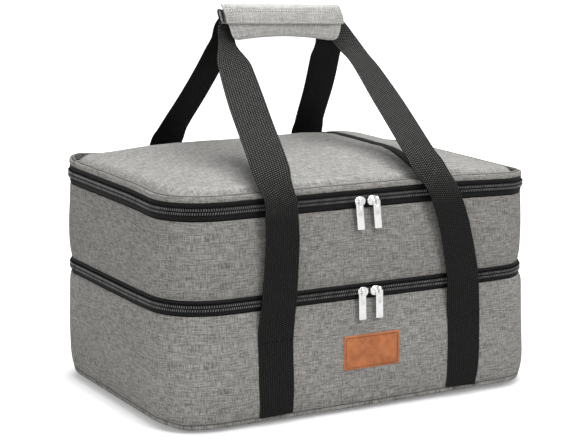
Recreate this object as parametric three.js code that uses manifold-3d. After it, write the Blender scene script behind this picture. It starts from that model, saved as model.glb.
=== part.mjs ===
// A double-deck insulated lunch bag: lower compartment, upper compartment and padded lid, closed by two
// zips, with two webbing loops that a hook-and-loop wrap gathers into one handle.
// Millimetres, +Z up, front at -Y, origin at the middle of the base.
import * as THREE from "three";
import Module from "manifold-3d";

const wasm = await Module();
wasm.setup();

// Driving dimensions

// plan of the bag at its outer fabric
const WIDTH = 410;
const DEPTH = 280;
const CORNER_RADIUS = 50;
const CORNER_STEPS = 7;

// clearance between pieces that touch
const CLEAR = 0.3;

// heights of the middle of each zip, and how far each half of a band reaches from it
const LOWER_ZIP_Z = 121;
const UPPER_ZIP_Z = 212;
const LOWER_BAND_HALF = 7.8;
const UPPER_BAND_HALF = 9.6;

// walls, from the outside in
const FABRIC = 1.2;
const FOAM = 6;
const LINER = 1;

// base
const BASE_RIM_HEIGHT = 6;
const BASE_DRAW_IN = 4;
const BASE_CURVE_HEIGHT = 45;
const BASE_FABRIC = 1.4;
const BOARD = 2.5;
const BASE_FOAM = 6;

// floor between the compartments
const FLOOR_FOAM = 5.5;

// how far the upper box swells out over the lower zip
const UPPER_SWELL = 1;

// zip tapes and coils
const TAPE_INSET = 0.6;
const TAPE = 1.2;
const COIL_PROUD = 2.4;
const COIL_HEIGHT = 3.2;
const HINGE_WIDTH = 300;

// lid
const PIPING = 4;
const LID_RISE = 21.5;
const LID_CROWN_POWER = 2.8;
const LID_FABRIC = 1.6;
const LID_FOAM = 8;
const LID_BAND_WIDTH = 15;
const LID_BAND_THICKNESS = 1.2;
const LID_BAND_X = 84;
const CROWN_LEVELS = [1, 0.96, 0.9, 0.82, 0.7, 0.55, 0.36, 0.16];

// label patch
const LABEL_WIDTH = 63;
const LABEL_HEIGHT = 35;
const LABEL_THICKNESS = 1.6;
const LABEL_RADIUS = 3;
const LABEL_Z = 60;

// webbing
const WEBBING_WIDTH = 38;
const WEBBING = 1.8;
const STRAP_X = 106;
const SEWN_TOP_Z = 70;
const FOLD_TOP_Z = 95;
const STRAP_STAND_OFF = 10;
const GRIP_WIDTH = 24;
const GRIP_Z = 368.5;
const GRIP_CENTRE_X = -25;
const GRIP_Y = 6.2;
const GRIP_SPACING = 4.4;
const LOOP_STEPS = 92;
const FRONT_LEFT_ROUTE = { edge: -106, leave: -105, halfway: -97, wrap: -87, grip: -64 };
const FRONT_RIGHT_ROUTE = { edge: 71, leave: 61, halfway: 58.5, wrap: 55, grip: 20 };
const BACK_LEFT_ROUTE = { edge: -81, leave: -79, halfway: -77.5, wrap: -77, grip: -58 };
const BACK_RIGHT_ROUTE = { edge: 94, leave: 87, halfway: 71, wrap: 54, grip: 20 };

// wrap
const WRAP_LENGTH = 134;
const WRAP_UNDER_LENGTH = 66;
const WRAP_HALF_DEPTH = 12;
const WRAP_FLAP_HEIGHT = 14;
const WRAP_FABRIC = 2.6;
const HOOK_STRIP = 0.8;
const HOOK_STRIP_LENGTH = 70;
const HOOK_STRIP_HEIGHT = 7;

// sliders and pulls
const SLIDER_WIDTH = 9;
const SLIDER_HEIGHT = 10;
const SLIDER_PLATE = 1.4;
const SLIDER_SPACING = 14;
const UPPER_SLIDERS_X = -7;
const LOWER_SLIDERS_X = -2;
const BRIDGE_WIDTH = 2.4;
const BRIDGE_BAR = 1.2;
const BRIDGE_OPENING_HEIGHT = 6;
const BRIDGE_OPENING_DEPTH = 2.7;
const PULL_WIDTH = 8;
const PULL_LENGTH = 28;
const PULL_THICKNESS = 1;
const PULL_EYE_WIDTH = 4;
const PULL_EYE_LENGTH = 4.7;
const PULL_CROSSBAR = 1.2;

// Materials

const finish = (color, roughness, metalness = 0) => ({ color, roughness, metalness });
const GREY_FABRIC = finish(0x8e8c89, 0.95);
const LID_GREY = finish(0xb4b3af, 0.95);
const BLACK_TAPE = finish(0x17171a, 0.8);
const WEBBING_BLACK = finish(0x1b1b1c, 0.85);
const FOAM_WHITE = finish(0xe6e6e0, 0.9);
const LINER_SILVER = finish(0xc5c8cc, 0.45);
const BOARD_GREY = finish(0x55565a, 0.7);
const LEATHER = finish(0xb5713f, 0.55);
const STEEL = finish(0xc9cbce, 0.3, 1);
const HOOK_BLACK = finish(0x202022, 0.95);

const bag = new THREE.Group();
const { lerp } = THREE.MathUtils;

function add(name, geometry, material) {
  const mesh = new THREE.Mesh(geometry, new THREE.MeshStandardMaterial(material));
  mesh.name = name;
  bag.add(mesh);
  return mesh;
}

// Solids built from rows of points

// A closed body skinned over rows of points. Closed rows are loops round the bag, whose ends are
// fanned to a middle point or joined to each other; open rows are the corners of a swept section,
// whose ends are capped with the section's own triangles.
function skin(rows, { rowsJoin, loopsClose, capTriangles = [], firstMiddle, lastMiddle }) {
  const points = rows.flat();
  const count = rows[0].length;
  const faces = [];
  const rowPairs = rowsJoin ? rows.length : rows.length - 1;
  const columnPairs = loopsClose ? count : count - 1;
  for (let i = 0; i < rowPairs; i += 1) {
    const a = i * count;
    const b = ((i + 1) % rows.length) * count;
    for (let j = 0; j < columnPairs; j += 1) {
      const k = (j + 1) % count;
      faces.push([a + j, a + k, b + k], [a + j, b + k, b + j]);
    }
  }
  for (const triangle of capTriangles) {
    // in rising order, every triangle of a section winds as the section does
    const [p, q, r] = [...triangle].sort((m, n) => m - n);
    faces.push([p * count, q * count, r * count]);
    faces.push([p * count + count - 1, r * count + count - 1, q * count + count - 1]);
  }
  const fan = (start, middle, flip) => {
    const centre = points.push(middle) - 1;
    for (let j = 0; j < count; j += 1) {
      const k = (j + 1) % count;
      faces.push(flip ? [start + k, start + j, centre] : [start + j, start + k, centre]);
    }
  };
  if (firstMiddle) fan(0, firstMiddle, true);
  if (lastMiddle) fan((rows.length - 1) * count, lastMiddle, false);
  let volume = 0;
  for (const [a, b, c] of faces) {
    volume += points[a].dot(new THREE.Vector3().crossVectors(points[b], points[c]));
  }
  const index = volume < 0 ? faces.flatMap(([a, b, c]) => [a, c, b]) : faces.flat();
  const geometry = new THREE.BufferGeometry().setFromPoints(points);
  geometry.setIndex(index);
  return geometry;
}

// The plan outline, drawn in by an inset, from one end of the back hinge round the front to the other.
function planLoop(inset, z, scale = 1) {
  const a = WIDTH / 2 - inset;
  const b = DEPTH / 2 - inset;
  const r = Math.max(CORNER_RADIUS - inset, 1);
  const centres = [
    [r - a, b - r, 90],
    [r - a, r - b, 180],
    [a - r, r - b, 270],
    [a - r, b - r, 0],
  ];
  const loop = [new THREE.Vector3(-HINGE_WIDTH / 2, b, z)];
  for (const [x, y, start] of centres) {
    for (let step = 0; step <= CORNER_STEPS; step += 1) {
      const angle = THREE.MathUtils.degToRad(start + (90 * step) / CORNER_STEPS);
      loop.push(new THREE.Vector3(x + r * Math.cos(angle), y + r * Math.sin(angle), z));
    }
  }
  loop.push(new THREE.Vector3(HINGE_WIDTH / 2, b, z));
  for (const point of loop) {
    point.x *= scale;
    point.y *= scale;
  }
  return loop;
}

// A ring all the way round the bag, from a section of [inset, z] corners.
function ring(section) {
  const rows = section.map(([inset, z]) => planLoop(inset, z));
  return skin(rows, { rowsJoin: true, loopsClose: true });
}

// The same section swept from one end of the back hinge round the front to the other.
function openRing(section) {
  const rows = section.map(([inset, z]) => planLoop(inset, z));
  const outline = section.map(([inset, z]) => new THREE.Vector2(inset, z));
  const capTriangles = THREE.ShapeUtils.triangulateShape(outline, []);
  return skin(rows, { rowsJoin: true, loopsClose: false, capTriangles });
}

// A plate or tray: [inset, z] corners from the middle of its underside to the middle of its top.
function tray(section) {
  const rows = section.map(([inset, z]) => planLoop(inset, z));
  return skin(rows, {
    rowsJoin: false,
    loopsClose: true,
    firstMiddle: new THREE.Vector3(0, 0, section[0][1]),
    lastMiddle: new THREE.Vector3(0, 0, section[section.length - 1][1]),
  });
}

// A flat plate outlined in X and Z, with its front face at y and its thickness behind that.
function uprightPlate(shape, y, thickness) {
  const options = { depth: thickness, bevelEnabled: false, curveSegments: 6 };
  const geometry = new THREE.ExtrudeGeometry(shape, options);
  geometry.rotateX(Math.PI / 2);
  geometry.translate(0, y + thickness, 0);
  return geometry;
}

function roundedRectangle(width, height, radius) {
  const x = width / 2 - radius;
  const z = height / 2 - radius;
  const shape = new THREE.Shape();
  shape.absarc(x, z, radius, 0, Math.PI / 2);
  shape.absarc(-x, z, radius, Math.PI / 2, Math.PI);
  shape.absarc(-x, -z, radius, Math.PI, 1.5 * Math.PI);
  shape.absarc(x, -z, radius, 1.5 * Math.PI, 2 * Math.PI);
  shape.closePath();
  return shape;
}

// Webbing along stations of { at, across, width }: at is the middle of the band, across its width's
// direction, both splined between the stations.
function webbing(stations, steps) {
  const path = new THREE.CatmullRomCurve3(stations.map((s) => s.at), false, "centripetal");
  const spread = (u, pick) => {
    const f = Math.min(u * (stations.length - 1), stations.length - 1.0001);
    const i = Math.floor(f);
    return pick(stations[i], stations[i + 1], f - i);
  };
  const rows = [[], [], [], []];
  for (let step = 0; step <= steps; step += 1) {
    const u = step / steps;
    const middle = path.getPoint(u);
    const along = path.getTangent(u);
    const across = spread(u, (s, t, k) => s.across.clone().lerp(t.across, k));
    const width = spread(u, (s, t, k) => lerp(s.width, t.width, k));
    across.addScaledVector(along, -across.dot(along)).normalize();
    const out = new THREE.Vector3().crossVectors(along, across).normalize();
    const corners = [[-1, -1], [1, -1], [1, 1], [-1, 1]];
    corners.forEach(([w, t], i) => {
      const corner = middle.clone();
      corner.addScaledVector(across, (w * width) / 2).addScaledVector(out, (t * WEBBING) / 2);
      rows[i].push(corner);
    });
  }
  return skin(rows, { rowsJoin: true, loopsClose: false, capTriangles: [[0, 1, 2], [0, 2, 3]] });
}

// A sheet that runs along X, curved in section. Its mid-line's points are [length along X, y, z].
function rolledSheet(midline, thickness, centreX) {
  const points = midline.map(([length, y, z]) => new THREE.Vector3(length / 2, y, z));
  const curve = new THREE.CatmullRomCurve3(points, false, "catmullrom");
  const steps = midline.length * 3;
  const outer = [];
  const inner = [];
  for (let step = 0; step <= steps; step += 1) {
    const point = curve.getPoint(step / steps);
    const along = curve.getTangent(step / steps).setX(0).normalize();
    const side = new THREE.Vector3(0, -along.z, along.y).multiplyScalar(thickness / 2);
    outer.push(point.clone().add(side));
    inner.push(point.clone().sub(side));
  }
  const outline = [...outer, ...inner.reverse()];
  const rows = outline.map((p) => [
    new THREE.Vector3(centreX - p.x, p.y, p.z),
    new THREE.Vector3(centreX + p.x, p.y, p.z),
  ]);
  const section = outline.map((p) => new THREE.Vector2(p.y, p.z));
  const capTriangles = THREE.ShapeUtils.triangulateShape(section, []);
  return skin(rows, { rowsJoin: true, loopsClose: false, capTriangles });
}

// Walls and floors of the two boxes

// insets of the layers, from the outside in
const foamInset = FABRIC + CLEAR;
const linerInset = foamInset + FOAM + CLEAR;
const innerInset = linerInset + LINER;

// how far the outer fabric is drawn in at a height near the base
function baseInset(z) {
  const rise = Math.min((z - BASE_RIM_HEIGHT) / (BASE_CURVE_HEIGHT - BASE_RIM_HEIGHT), 1);
  return BASE_DRAW_IN * (1 - rise) ** 2.2;
}

const baseCurveZ = [BASE_RIM_HEIGHT + CLEAR, 12, 19, 28, BASE_CURVE_HEIGHT];
const lowerWallTop = LOWER_ZIP_Z - LOWER_BAND_HALF;
const lowerLipTop = LOWER_ZIP_Z - 2;
const boardTop = BASE_FABRIC + CLEAR + BOARD;
const baseFoamTop = boardTop + CLEAR + BASE_FOAM;
const lowerFloorTop = baseFoamTop + CLEAR + LINER;

function buildLowerBox() {
  const rimInset = BASE_DRAW_IN + 0.3;
  add(
    "base_panel",
    tray([
      [rimInset + 8, 0],
      [rimInset + 3, 0.4],
      [rimInset + 0.8, 2.2],
      [rimInset, BASE_RIM_HEIGHT],
      [rimInset + FABRIC, BASE_RIM_HEIGHT],
      [rimInset + FABRIC + 0.8, 2.9],
      [rimInset + FABRIC + 3, BASE_FABRIC],
    ]),
    GREY_FABRIC,
  );
  const boardInset = rimInset + FABRIC + 4;
  add("base_board", tray([[boardInset, BASE_FABRIC + CLEAR], [boardInset, boardTop]]), BOARD_GREY);
  add(
    "base_foam",
    tray([[linerInset + CLEAR, boardTop + CLEAR], [linerInset + CLEAR, baseFoamTop]]),
    FOAM_WHITE,
  );

  const outerCurve = baseCurveZ.map((z) => [baseInset(z), z]);
  const shellInner = outerCurve.map(([inset, z]) => [inset + FABRIC, z]).reverse();
  add(
    "lower_shell",
    ring([...outerCurve, [0, lowerWallTop], [FABRIC, lowerWallTop], ...shellInner]),
    GREY_FABRIC,
  );
  const foamCurve = baseCurveZ.map((z) => [baseInset(z) + foamInset, z + CLEAR]);
  const foamIn = foamInset + FOAM;
  const foamOuterTop = lowerWallTop - CLEAR;
  const tapeBack = TAPE_INSET + TAPE + CLEAR;
  add(
    "lower_foam",
    ring([
      ...foamCurve,
      [foamInset, foamOuterTop],
      [tapeBack, foamOuterTop],
      [tapeBack, lowerLipTop],
      [foamIn, lowerLipTop],
      [foamIn, baseCurveZ[0] + CLEAR],
    ]),
    FOAM_WHITE,
  );
  add(
    "lower_liner",
    tray([
      [linerInset, baseFoamTop + CLEAR],
      [linerInset, lowerLipTop],
      [innerInset, lowerLipTop],
      [innerInset, lowerFloorTop],
    ]),
    LINER_SILVER,
  );
}

const floorSkinBottom = LOWER_ZIP_Z + 0.5;
const floorFoamBottom = floorSkinBottom + LINER + CLEAR;
const upperWallBottom = LOWER_ZIP_Z + LOWER_BAND_HALF;
const upperLinerBottom = floorFoamBottom + FLOOR_FOAM + CLEAR;
const upperFloorTop = upperLinerBottom + LINER;
const upperWallTop = UPPER_ZIP_Z - UPPER_BAND_HALF;
const upperLipTop = UPPER_ZIP_Z - 1.5;

function buildUpperBox() {
  const floorInset = TAPE_INSET + TAPE + CLEAR;
  add(
    "upper_floor_skin",
    tray([[floorInset, floorSkinBottom], [floorInset, floorSkinBottom + LINER]]),
    LINER_SILVER,
  );
  add(
    "upper_floor_foam",
    tray([[floorInset, floorFoamBottom], [floorInset, floorFoamBottom + FLOOR_FOAM]]),
    FOAM_WHITE,
  );
  const swell = [
    [0.6, upperWallBottom],
    [-0.6 * UPPER_SWELL, upperWallBottom + 4],
    [-UPPER_SWELL, upperWallBottom + 12],
    [-UPPER_SWELL, upperWallBottom + 28],
    [-0.4 * UPPER_SWELL, upperWallTop - 18],
    [0, upperWallTop],
  ];
  const swellInner = swell.map(([inset, z]) => [inset + FABRIC, z]).reverse();
  add("upper_shell", ring([...swell, ...swellInner]), GREY_FABRIC);
  const foamIn = foamInset + FOAM;
  const foamBottom = upperLinerBottom;
  const tapeBack = TAPE_INSET + TAPE + CLEAR;
  add(
    "upper_foam",
    ring([
      [tapeBack, foamBottom],
      [tapeBack, upperWallBottom + CLEAR],
      [tapeBack, upperLipTop],
      [foamIn, upperLipTop],
      [foamIn, foamBottom],
    ]),
    FOAM_WHITE,
  );
  add(
    "upper_liner",
    tray([
      [linerInset, upperLinerBottom],
      [linerInset, upperLipTop],
      [innerInset, upperLipTop],
      [innerInset, upperFloorTop],
    ]),
    LINER_SILVER,
  );
}

// Zip bands: a tape with its coil, on each side of a zip's mid-height

function tapeSection(midZ, reach, side) {
  const meet = midZ + side * (CLEAR / 2);
  const coilEnd = midZ + side * COIL_HEIGHT;
  const seam = midZ + side * (reach - CLEAR);
  return [
    [TAPE_INSET, seam],
    [TAPE_INSET, coilEnd + side],
    [-0.7 * COIL_PROUD, coilEnd],
    [-COIL_PROUD, midZ + (side * COIL_HEIGHT) / 2],
    [-0.7 * COIL_PROUD, meet],
    [TAPE_INSET + TAPE, meet],
    [TAPE_INSET + TAPE, seam],
  ];
}

// the half of the back hinge's fabric on one side of a zip's mid-height
function hingeHalf(midZ, reach, side) {
  const height = reach - CLEAR * 1.5;
  const geometry = new THREE.BoxGeometry(HINGE_WIDTH - 2 * CLEAR, TAPE * 1.5, height);
  geometry.translate(0, DEPTH / 2 - TAPE_INSET + TAPE * 0.25, midZ + side * (CLEAR / 2 + height / 2));
  return geometry;
}

function buildZips() {
  const halves = [
    ["lower_zip_lower_tape", "lower_hinge_lower_half", LOWER_ZIP_Z, LOWER_BAND_HALF, -1],
    ["lower_zip_upper_tape", "lower_hinge_upper_half", LOWER_ZIP_Z, LOWER_BAND_HALF, 1],
    ["upper_zip_lower_tape", "upper_hinge_lower_half", UPPER_ZIP_Z, UPPER_BAND_HALF, -1],
    ["upper_zip_upper_tape", "upper_hinge_upper_half", UPPER_ZIP_Z, UPPER_BAND_HALF, 1],
  ];
  for (const [tape, hinge, midZ, reach, side] of halves) {
    add(tape, openRing(tapeSection(midZ, reach, side)), BLACK_TAPE);
    add(hinge, hingeHalf(midZ, reach, side), GREY_FABRIC);
  }
}

// Lid

const lidBottom = UPPER_ZIP_Z + UPPER_BAND_HALF;
const lidInset = 2.9;
const lidEdgeZ = lidBottom + 2.9;

const crownRise = (t) => LID_RISE * (1 - t ** LID_CROWN_POWER);

// height of the crown's top over a point of the plan
function crownHeight(x, y) {
  const a = WIDTH / 2 - lidInset;
  const b = DEPTH / 2 - lidInset;
  const r = CORNER_RADIUS - lidInset;
  const [u, v] = [Math.abs(x), Math.abs(y)];
  let t = Math.max(u / a, v / b);
  if (u > t * (a - r) && v > t * (b - r)) {
    const sum = u * (a - r) + v * (b - r);
    const q = (a - r) ** 2 + (b - r) ** 2 - r ** 2;
    t = (sum - Math.sqrt(sum ** 2 - q * (u ** 2 + v ** 2))) / q;
  }
  return lidEdgeZ + crownRise(Math.min(t, 1));
}

// a crowned layer whose top lies a drop below the lid's top
function crownedLayer(inset, drop, thickness) {
  const level = (t, z) => planLoop(inset, z + crownRise(t), t);
  const top = CROWN_LEVELS.map((t) => level(t, lidEdgeZ - drop));
  const bottom = CROWN_LEVELS.map((t) => level(t, lidEdgeZ - drop - thickness)).reverse();
  const middle = (z) => new THREE.Vector3(0, 0, z + LID_RISE);
  return skin([...bottom, ...top], {
    rowsJoin: false,
    loopsClose: true,
    firstMiddle: middle(lidEdgeZ - drop - thickness),
    lastMiddle: middle(lidEdgeZ - drop),
  });
}

function buildLid() {
  const bottom = lidBottom + CLEAR;
  const outer = -0.8;
  const inner = outer + PIPING - 0.6;
  add(
    "lid_piping",
    ring([
      [outer + 0.8, bottom],
      [outer, bottom + PIPING * 0.35],
      [outer + 0.1, bottom + PIPING * 0.7],
      [outer + 1, bottom + PIPING],
      [inner - 0.6, bottom + PIPING],
      [inner, bottom + PIPING * 0.8],
      [inner, bottom],
    ]),
    LID_GREY,
  );
  add("lid_panel", crownedLayer(lidInset, 0, LID_FABRIC), LID_GREY);
  const foamDrop = LID_FABRIC + CLEAR;
  add("lid_foam", crownedLayer(lidInset + CLEAR, foamDrop, LID_FOAM), FOAM_WHITE);
  const linerDrop = foamDrop + LID_FOAM + CLEAR;
  add("lid_liner", crownedLayer(lidInset + CLEAR, linerDrop, LINER), LINER_SILVER);

  const reach = DEPTH / 2 - lidInset - CLEAR;
  const steps = 28;
  const edges = [-LID_BAND_WIDTH / 2, 0, LID_BAND_WIDTH / 2];
  const lift = [CLEAR, CLEAR + LID_BAND_THICKNESS];
  const corners = [...edges.map((e) => [e, lift[0]]), ...edges.map((e) => [e, lift[1]]).reverse()];
  const rows = corners.map(([edge, height]) => {
    const row = [];
    for (let step = 0; step <= steps; step += 1) {
      const y = -reach * Math.cos((Math.PI * step) / steps);
      row.push(new THREE.Vector3(LID_BAND_X + edge, y, crownHeight(LID_BAND_X + edge, y) + height));
    }
    return row;
  });
  const outline = corners.map(([edge, height]) => new THREE.Vector2(edge, height));
  const capTriangles = THREE.ShapeUtils.triangulateShape(outline, []);
  add("lid_band", skin(rows, { rowsJoin: true, loopsClose: false, capTriangles }), WEBBING_BLACK);
}

// Label patch

function buildLabel() {
  const y = -DEPTH / 2 - CLEAR - LABEL_THICKNESS;
  const outline = roundedRectangle(LABEL_WIDTH, LABEL_HEIGHT, LABEL_RADIUS);
  const plate = uprightPlate(outline, y, LABEL_THICKNESS);
  add("label_patch", plate, LEATHER).position.z = LABEL_Z;
}

// Webbing: sewn stretches, fold strips and the two loops. Side is -1 in front and 1 behind.

const sewnY = DEPTH / 2 + CLEAR + WEBBING / 2;
const foldTopY = sewnY + 1.8;
const standY = DEPTH / 2 + STRAP_STAND_OFF;
const station = (x, y, z, across, width = WEBBING_WIDTH) => ({
  at: new THREE.Vector3(x, y, z),
  across: new THREE.Vector3(...across),
  width,
});

function sewnStrap(x, side) {
  const heights = [...baseCurveZ.slice(0, -1), BASE_CURVE_HEIGHT, SEWN_TOP_Z - CLEAR];
  const stations = heights.map((z) => station(x, side * (sewnY - baseInset(z)), z, [1, 0, 0]));
  return webbing(stations, 16);
}

function foldStrip(x, side) {
  const stations = [
    station(x, side * sewnY, SEWN_TOP_Z + CLEAR / 2, [1, 0, 0]),
    station(x, side * (sewnY + 0.5), (SEWN_TOP_Z + FOLD_TOP_Z) / 2, [1, 0, 0]),
    station(x, side * foldTopY, FOLD_TOP_Z - CLEAR, [1, 0, 0]),
  ];
  return webbing(stations, 4);
}

// Half a loop, from the fold up to the grip. The route gives x of the band's middle at the lid's edge,
// where it leaves the lid, halfway up, below the wrap and where the straight grip begins; hand is 1
// where the band's width runs along +X on its way up.
function loopSide(side, hand, route, gripY) {
  const { edge, leave, halfway, wrap, grip } = route;
  const fold = -hand * STRAP_X;
  const wide = [hand, 0, 0];
  const standing = (x, stepIn, z) => station(x, side * (standY - stepIn), z, wide);
  const leaveY = side * (DEPTH / 2 - 10);
  const leaveZ = lidEdgeZ + LID_RISE + 3;
  const leaning = (x, inward, up, across, width) =>
    station(x, lerp(leaveY, gripY, inward), lerp(leaveZ, GRIP_Z, up), across, width);
  return [
    station(fold, side * foldTopY, FOLD_TOP_Z + CLEAR, wide),
    standing(fold, 4, LOWER_ZIP_Z + 3),
    standing(lerp(fold, edge, 0.5), 0, lerp(LOWER_ZIP_Z, UPPER_ZIP_Z, 0.65)),
    standing(lerp(fold, edge, 0.85), -0.5, UPPER_ZIP_Z - 5),
    standing(edge, 1.5, lidEdgeZ - 2.5),
    standing(lerp(edge, leave, 0.5), 9, lerp(lidEdgeZ, leaveZ, 0.47)),
    leaning(leave, 0, 0, wide),
    leaning(halfway, 0.42, 0.36, wide),
    leaning(wrap, 0.8, 0.68, wide, WEBBING_WIDTH - 2),
    leaning(lerp(wrap, grip, 0.13), 0.965, 0.84, [hand * 0.8, 0, -0.6], GRIP_WIDTH + 2),
    leaning(lerp(wrap, grip, 0.4), 1, 0.95, [hand * 0.4, 0, -0.92], GRIP_WIDTH + 1),
    leaning(grip, 1, 1, [0, 0, -1], GRIP_WIDTH),
  ];
}

function handleLoop(side, leftRoute, rightRoute) {
  const gripY = GRIP_Y + (side * GRIP_SPACING) / 2;
  const left = loopSide(side, 1, leftRoute, gripY);
  const right = loopSide(side, -1, rightRoute, gripY).reverse();
  const middle = station(GRIP_CENTRE_X, gripY, GRIP_Z, [0, 0, -1], GRIP_WIDTH);
  return webbing([...left, middle, ...right], LOOP_STEPS);
}

function buildStraps() {
  for (const [place, side] of [["front", -1], ["back", 1]]) {
    for (const [hand, x] of [["left", -STRAP_X], ["right", STRAP_X]]) {
      add(`${place}_${hand}_sewn_strap`, sewnStrap(x, side), WEBBING_BLACK);
      add(`${place}_${hand}_fold`, foldStrip(x, side), WEBBING_BLACK);
    }
  }
  add("front_handle_loop", handleLoop(-1, FRONT_LEFT_ROUTE, FRONT_RIGHT_ROUTE), WEBBING_BLACK);
  add("back_handle_loop", handleLoop(1, BACK_LEFT_ROUTE, BACK_RIGHT_ROUTE), WEBBING_BLACK);
}

// Wrap round the two grips: back panel, lower tongue, and the flap that comes over the top

function buildWrap() {
  const bottomZ = GRIP_Z - GRIP_WIDTH / 2;
  const topZ = GRIP_Z + GRIP_WIDTH / 2;
  const y = GRIP_Y;
  const backY = y + WRAP_HALF_DEPTH;
  const tongueY = y - WRAP_HALF_DEPTH;
  const flapY = tongueY - (WRAP_FABRIC + 2 * HOOK_STRIP + 3 * CLEAR);
  const back = [
    [WRAP_LENGTH, backY, bottomZ + 7],
    [WRAP_LENGTH, backY + 1, GRIP_Z],
    [WRAP_LENGTH, backY, topZ - 3],
    [WRAP_LENGTH, backY - 3.5, topZ + 3],
  ];
  // the tongue narrows towards the bottom, where the straps come in beside it
  const tongue = [
    [WRAP_UNDER_LENGTH, backY - 1.5, bottomZ + 3],
    [WRAP_UNDER_LENGTH, y + 5.5, bottomZ - 1.6],
    [WRAP_UNDER_LENGTH, y - 2, bottomZ - 2.6],
    [lerp(WRAP_UNDER_LENGTH, WRAP_LENGTH, 0.4), tongueY + 3, bottomZ - 0.6],
    [lerp(WRAP_UNDER_LENGTH, WRAP_LENGTH, 0.8), tongueY, bottomZ + 4.5],
    [WRAP_LENGTH - 2, tongueY, bottomZ + 12],
    [WRAP_LENGTH - 2, tongueY, topZ - 5],
  ];
  const flapEnd = topZ - WRAP_FLAP_HEIGHT;
  const flap = [
    [WRAP_LENGTH, backY - 4.4, topZ + 4],
    [WRAP_LENGTH, y + 1, topZ + 4.2],
    [WRAP_LENGTH, tongueY + 2.5, topZ + 4],
    [WRAP_LENGTH, flapY + 0.8, topZ + 1],
    [WRAP_LENGTH, flapY, topZ - 4],
    [WRAP_LENGTH, flapY, flapEnd],
  ];
  add("wrap_back_panel", rolledSheet(back, WRAP_FABRIC, GRIP_CENTRE_X), LID_GREY);
  add("wrap_tongue", rolledSheet(tongue, WRAP_FABRIC, GRIP_CENTRE_X), LID_GREY);
  add("wrap_flap", rolledSheet(flap, WRAP_FABRIC, GRIP_CENTRE_X), LID_GREY);
  const stripZ = flapEnd + 1 + HOOK_STRIP_HEIGHT / 2;
  const loopY = tongueY - (WRAP_FABRIC + HOOK_STRIP) / 2 - CLEAR;
  const hookY = loopY - HOOK_STRIP - CLEAR;
  const strip = new THREE.BoxGeometry(HOOK_STRIP_LENGTH, HOOK_STRIP, HOOK_STRIP_HEIGHT);
  add("wrap_loop_strip", strip, HOOK_BLACK).position.set(GRIP_CENTRE_X, loopY, stripZ);
  add("wrap_hook_strip", strip, HOOK_BLACK).position.set(GRIP_CENTRE_X, hookY, stripZ);
}

// Sliders and their pulls

function toManifold(geometry) {
  const positions = geometry.getAttribute("position");
  const seen = new Map();
  const points = [];
  const triangles = [];
  const order = geometry.getIndex();
  const corners = order ? order.count : positions.count;
  for (let i = 0; i < corners; i += 1) {
    const k = order ? order.getX(i) : i;
    const p = [positions.getX(k), positions.getY(k), positions.getZ(k)];
    const key = p.map((v) => v.toFixed(5)).join();
    if (!seen.has(key)) {
      seen.set(key, points.length / 3);
      points.push(...p);
    }
    triangles.push(seen.get(key));
  }
  return new wasm.Manifold(
    new wasm.Mesh({
      numProp: 3,
      vertProperties: new Float32Array(points),
      triVerts: new Uint32Array(triangles),
    }),
  );
}

function fromManifold(solid) {
  const mesh = solid.getMesh();
  const geometry = new THREE.BufferGeometry();
  geometry.setAttribute("position", new THREE.BufferAttribute(mesh.vertProperties, 3));
  geometry.setIndex(new THREE.BufferAttribute(mesh.triVerts, 1));
  return geometry;
}

// y of the crossbar that the pull turns on, and of the slider plate's front, measured from the coil
const plateFrontY = -(DEPTH / 2 + COIL_PROUD + CLEAR + SLIDER_PLATE);
const crossbarY = plateFrontY - BRIDGE_OPENING_DEPTH / 2;

function sliderGeometry(nose) {
  const w = SLIDER_WIDTH / 2;
  const h = SLIDER_HEIGHT / 2;
  const outline = new THREE.Shape();
  outline.moveTo(-w * nose, h * 0.8);
  outline.lineTo(-w * nose, -h * 0.8);
  outline.quadraticCurveTo(-w * 0.6 * nose, -h, 0, -h);
  outline.quadraticCurveTo(w * 0.9 * nose, -h * 0.8, w * nose, -h * 0.25);
  outline.lineTo(w * nose, h * 0.25);
  outline.quadraticCurveTo(w * 0.9 * nose, h * 0.8, 0, h);
  outline.quadraticCurveTo(-w * 0.6 * nose, h, -w * nose, h * 0.8);
  const plate = toManifold(uprightPlate(outline, plateFrontY, SLIDER_PLATE));

  // bridge: an arch across the zip, outlined in Y and Z and as wide as the bridge in X
  const opening = BRIDGE_OPENING_HEIGHT / 2;
  const outside = opening + BRIDGE_BAR;
  const rootDepth = 0.5;
  const shoulder = 0.4 - BRIDGE_OPENING_DEPTH;
  const crown = -BRIDGE_OPENING_DEPTH - BRIDGE_BAR;
  const arch = new THREE.Shape();
  arch.moveTo(-outside, rootDepth);
  arch.lineTo(-outside, shoulder);
  arch.quadraticCurveTo(-outside, crown, -opening + 0.6, crown);
  arch.lineTo(opening - 0.6, crown);
  arch.quadraticCurveTo(outside, crown, outside, shoulder);
  arch.lineTo(outside, rootDepth);
  arch.lineTo(opening, rootDepth);
  arch.lineTo(opening, -BRIDGE_OPENING_DEPTH);
  arch.lineTo(-opening, -BRIDGE_OPENING_DEPTH);
  arch.lineTo(-opening, rootDepth);
  arch.closePath();
  const options = { depth: BRIDGE_WIDTH, bevelEnabled: false, curveSegments: 4 };
  const bridge = new THREE.ExtrudeGeometry(arch, options);
  // shape x becomes Z, shape y becomes Y, and the extrusion runs along X
  bridge.translate(0, plateFrontY, -BRIDGE_WIDTH / 2);
  bridge.rotateY(-Math.PI / 2);
  return fromManifold(plate.add(toManifold(bridge)));
}

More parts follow.
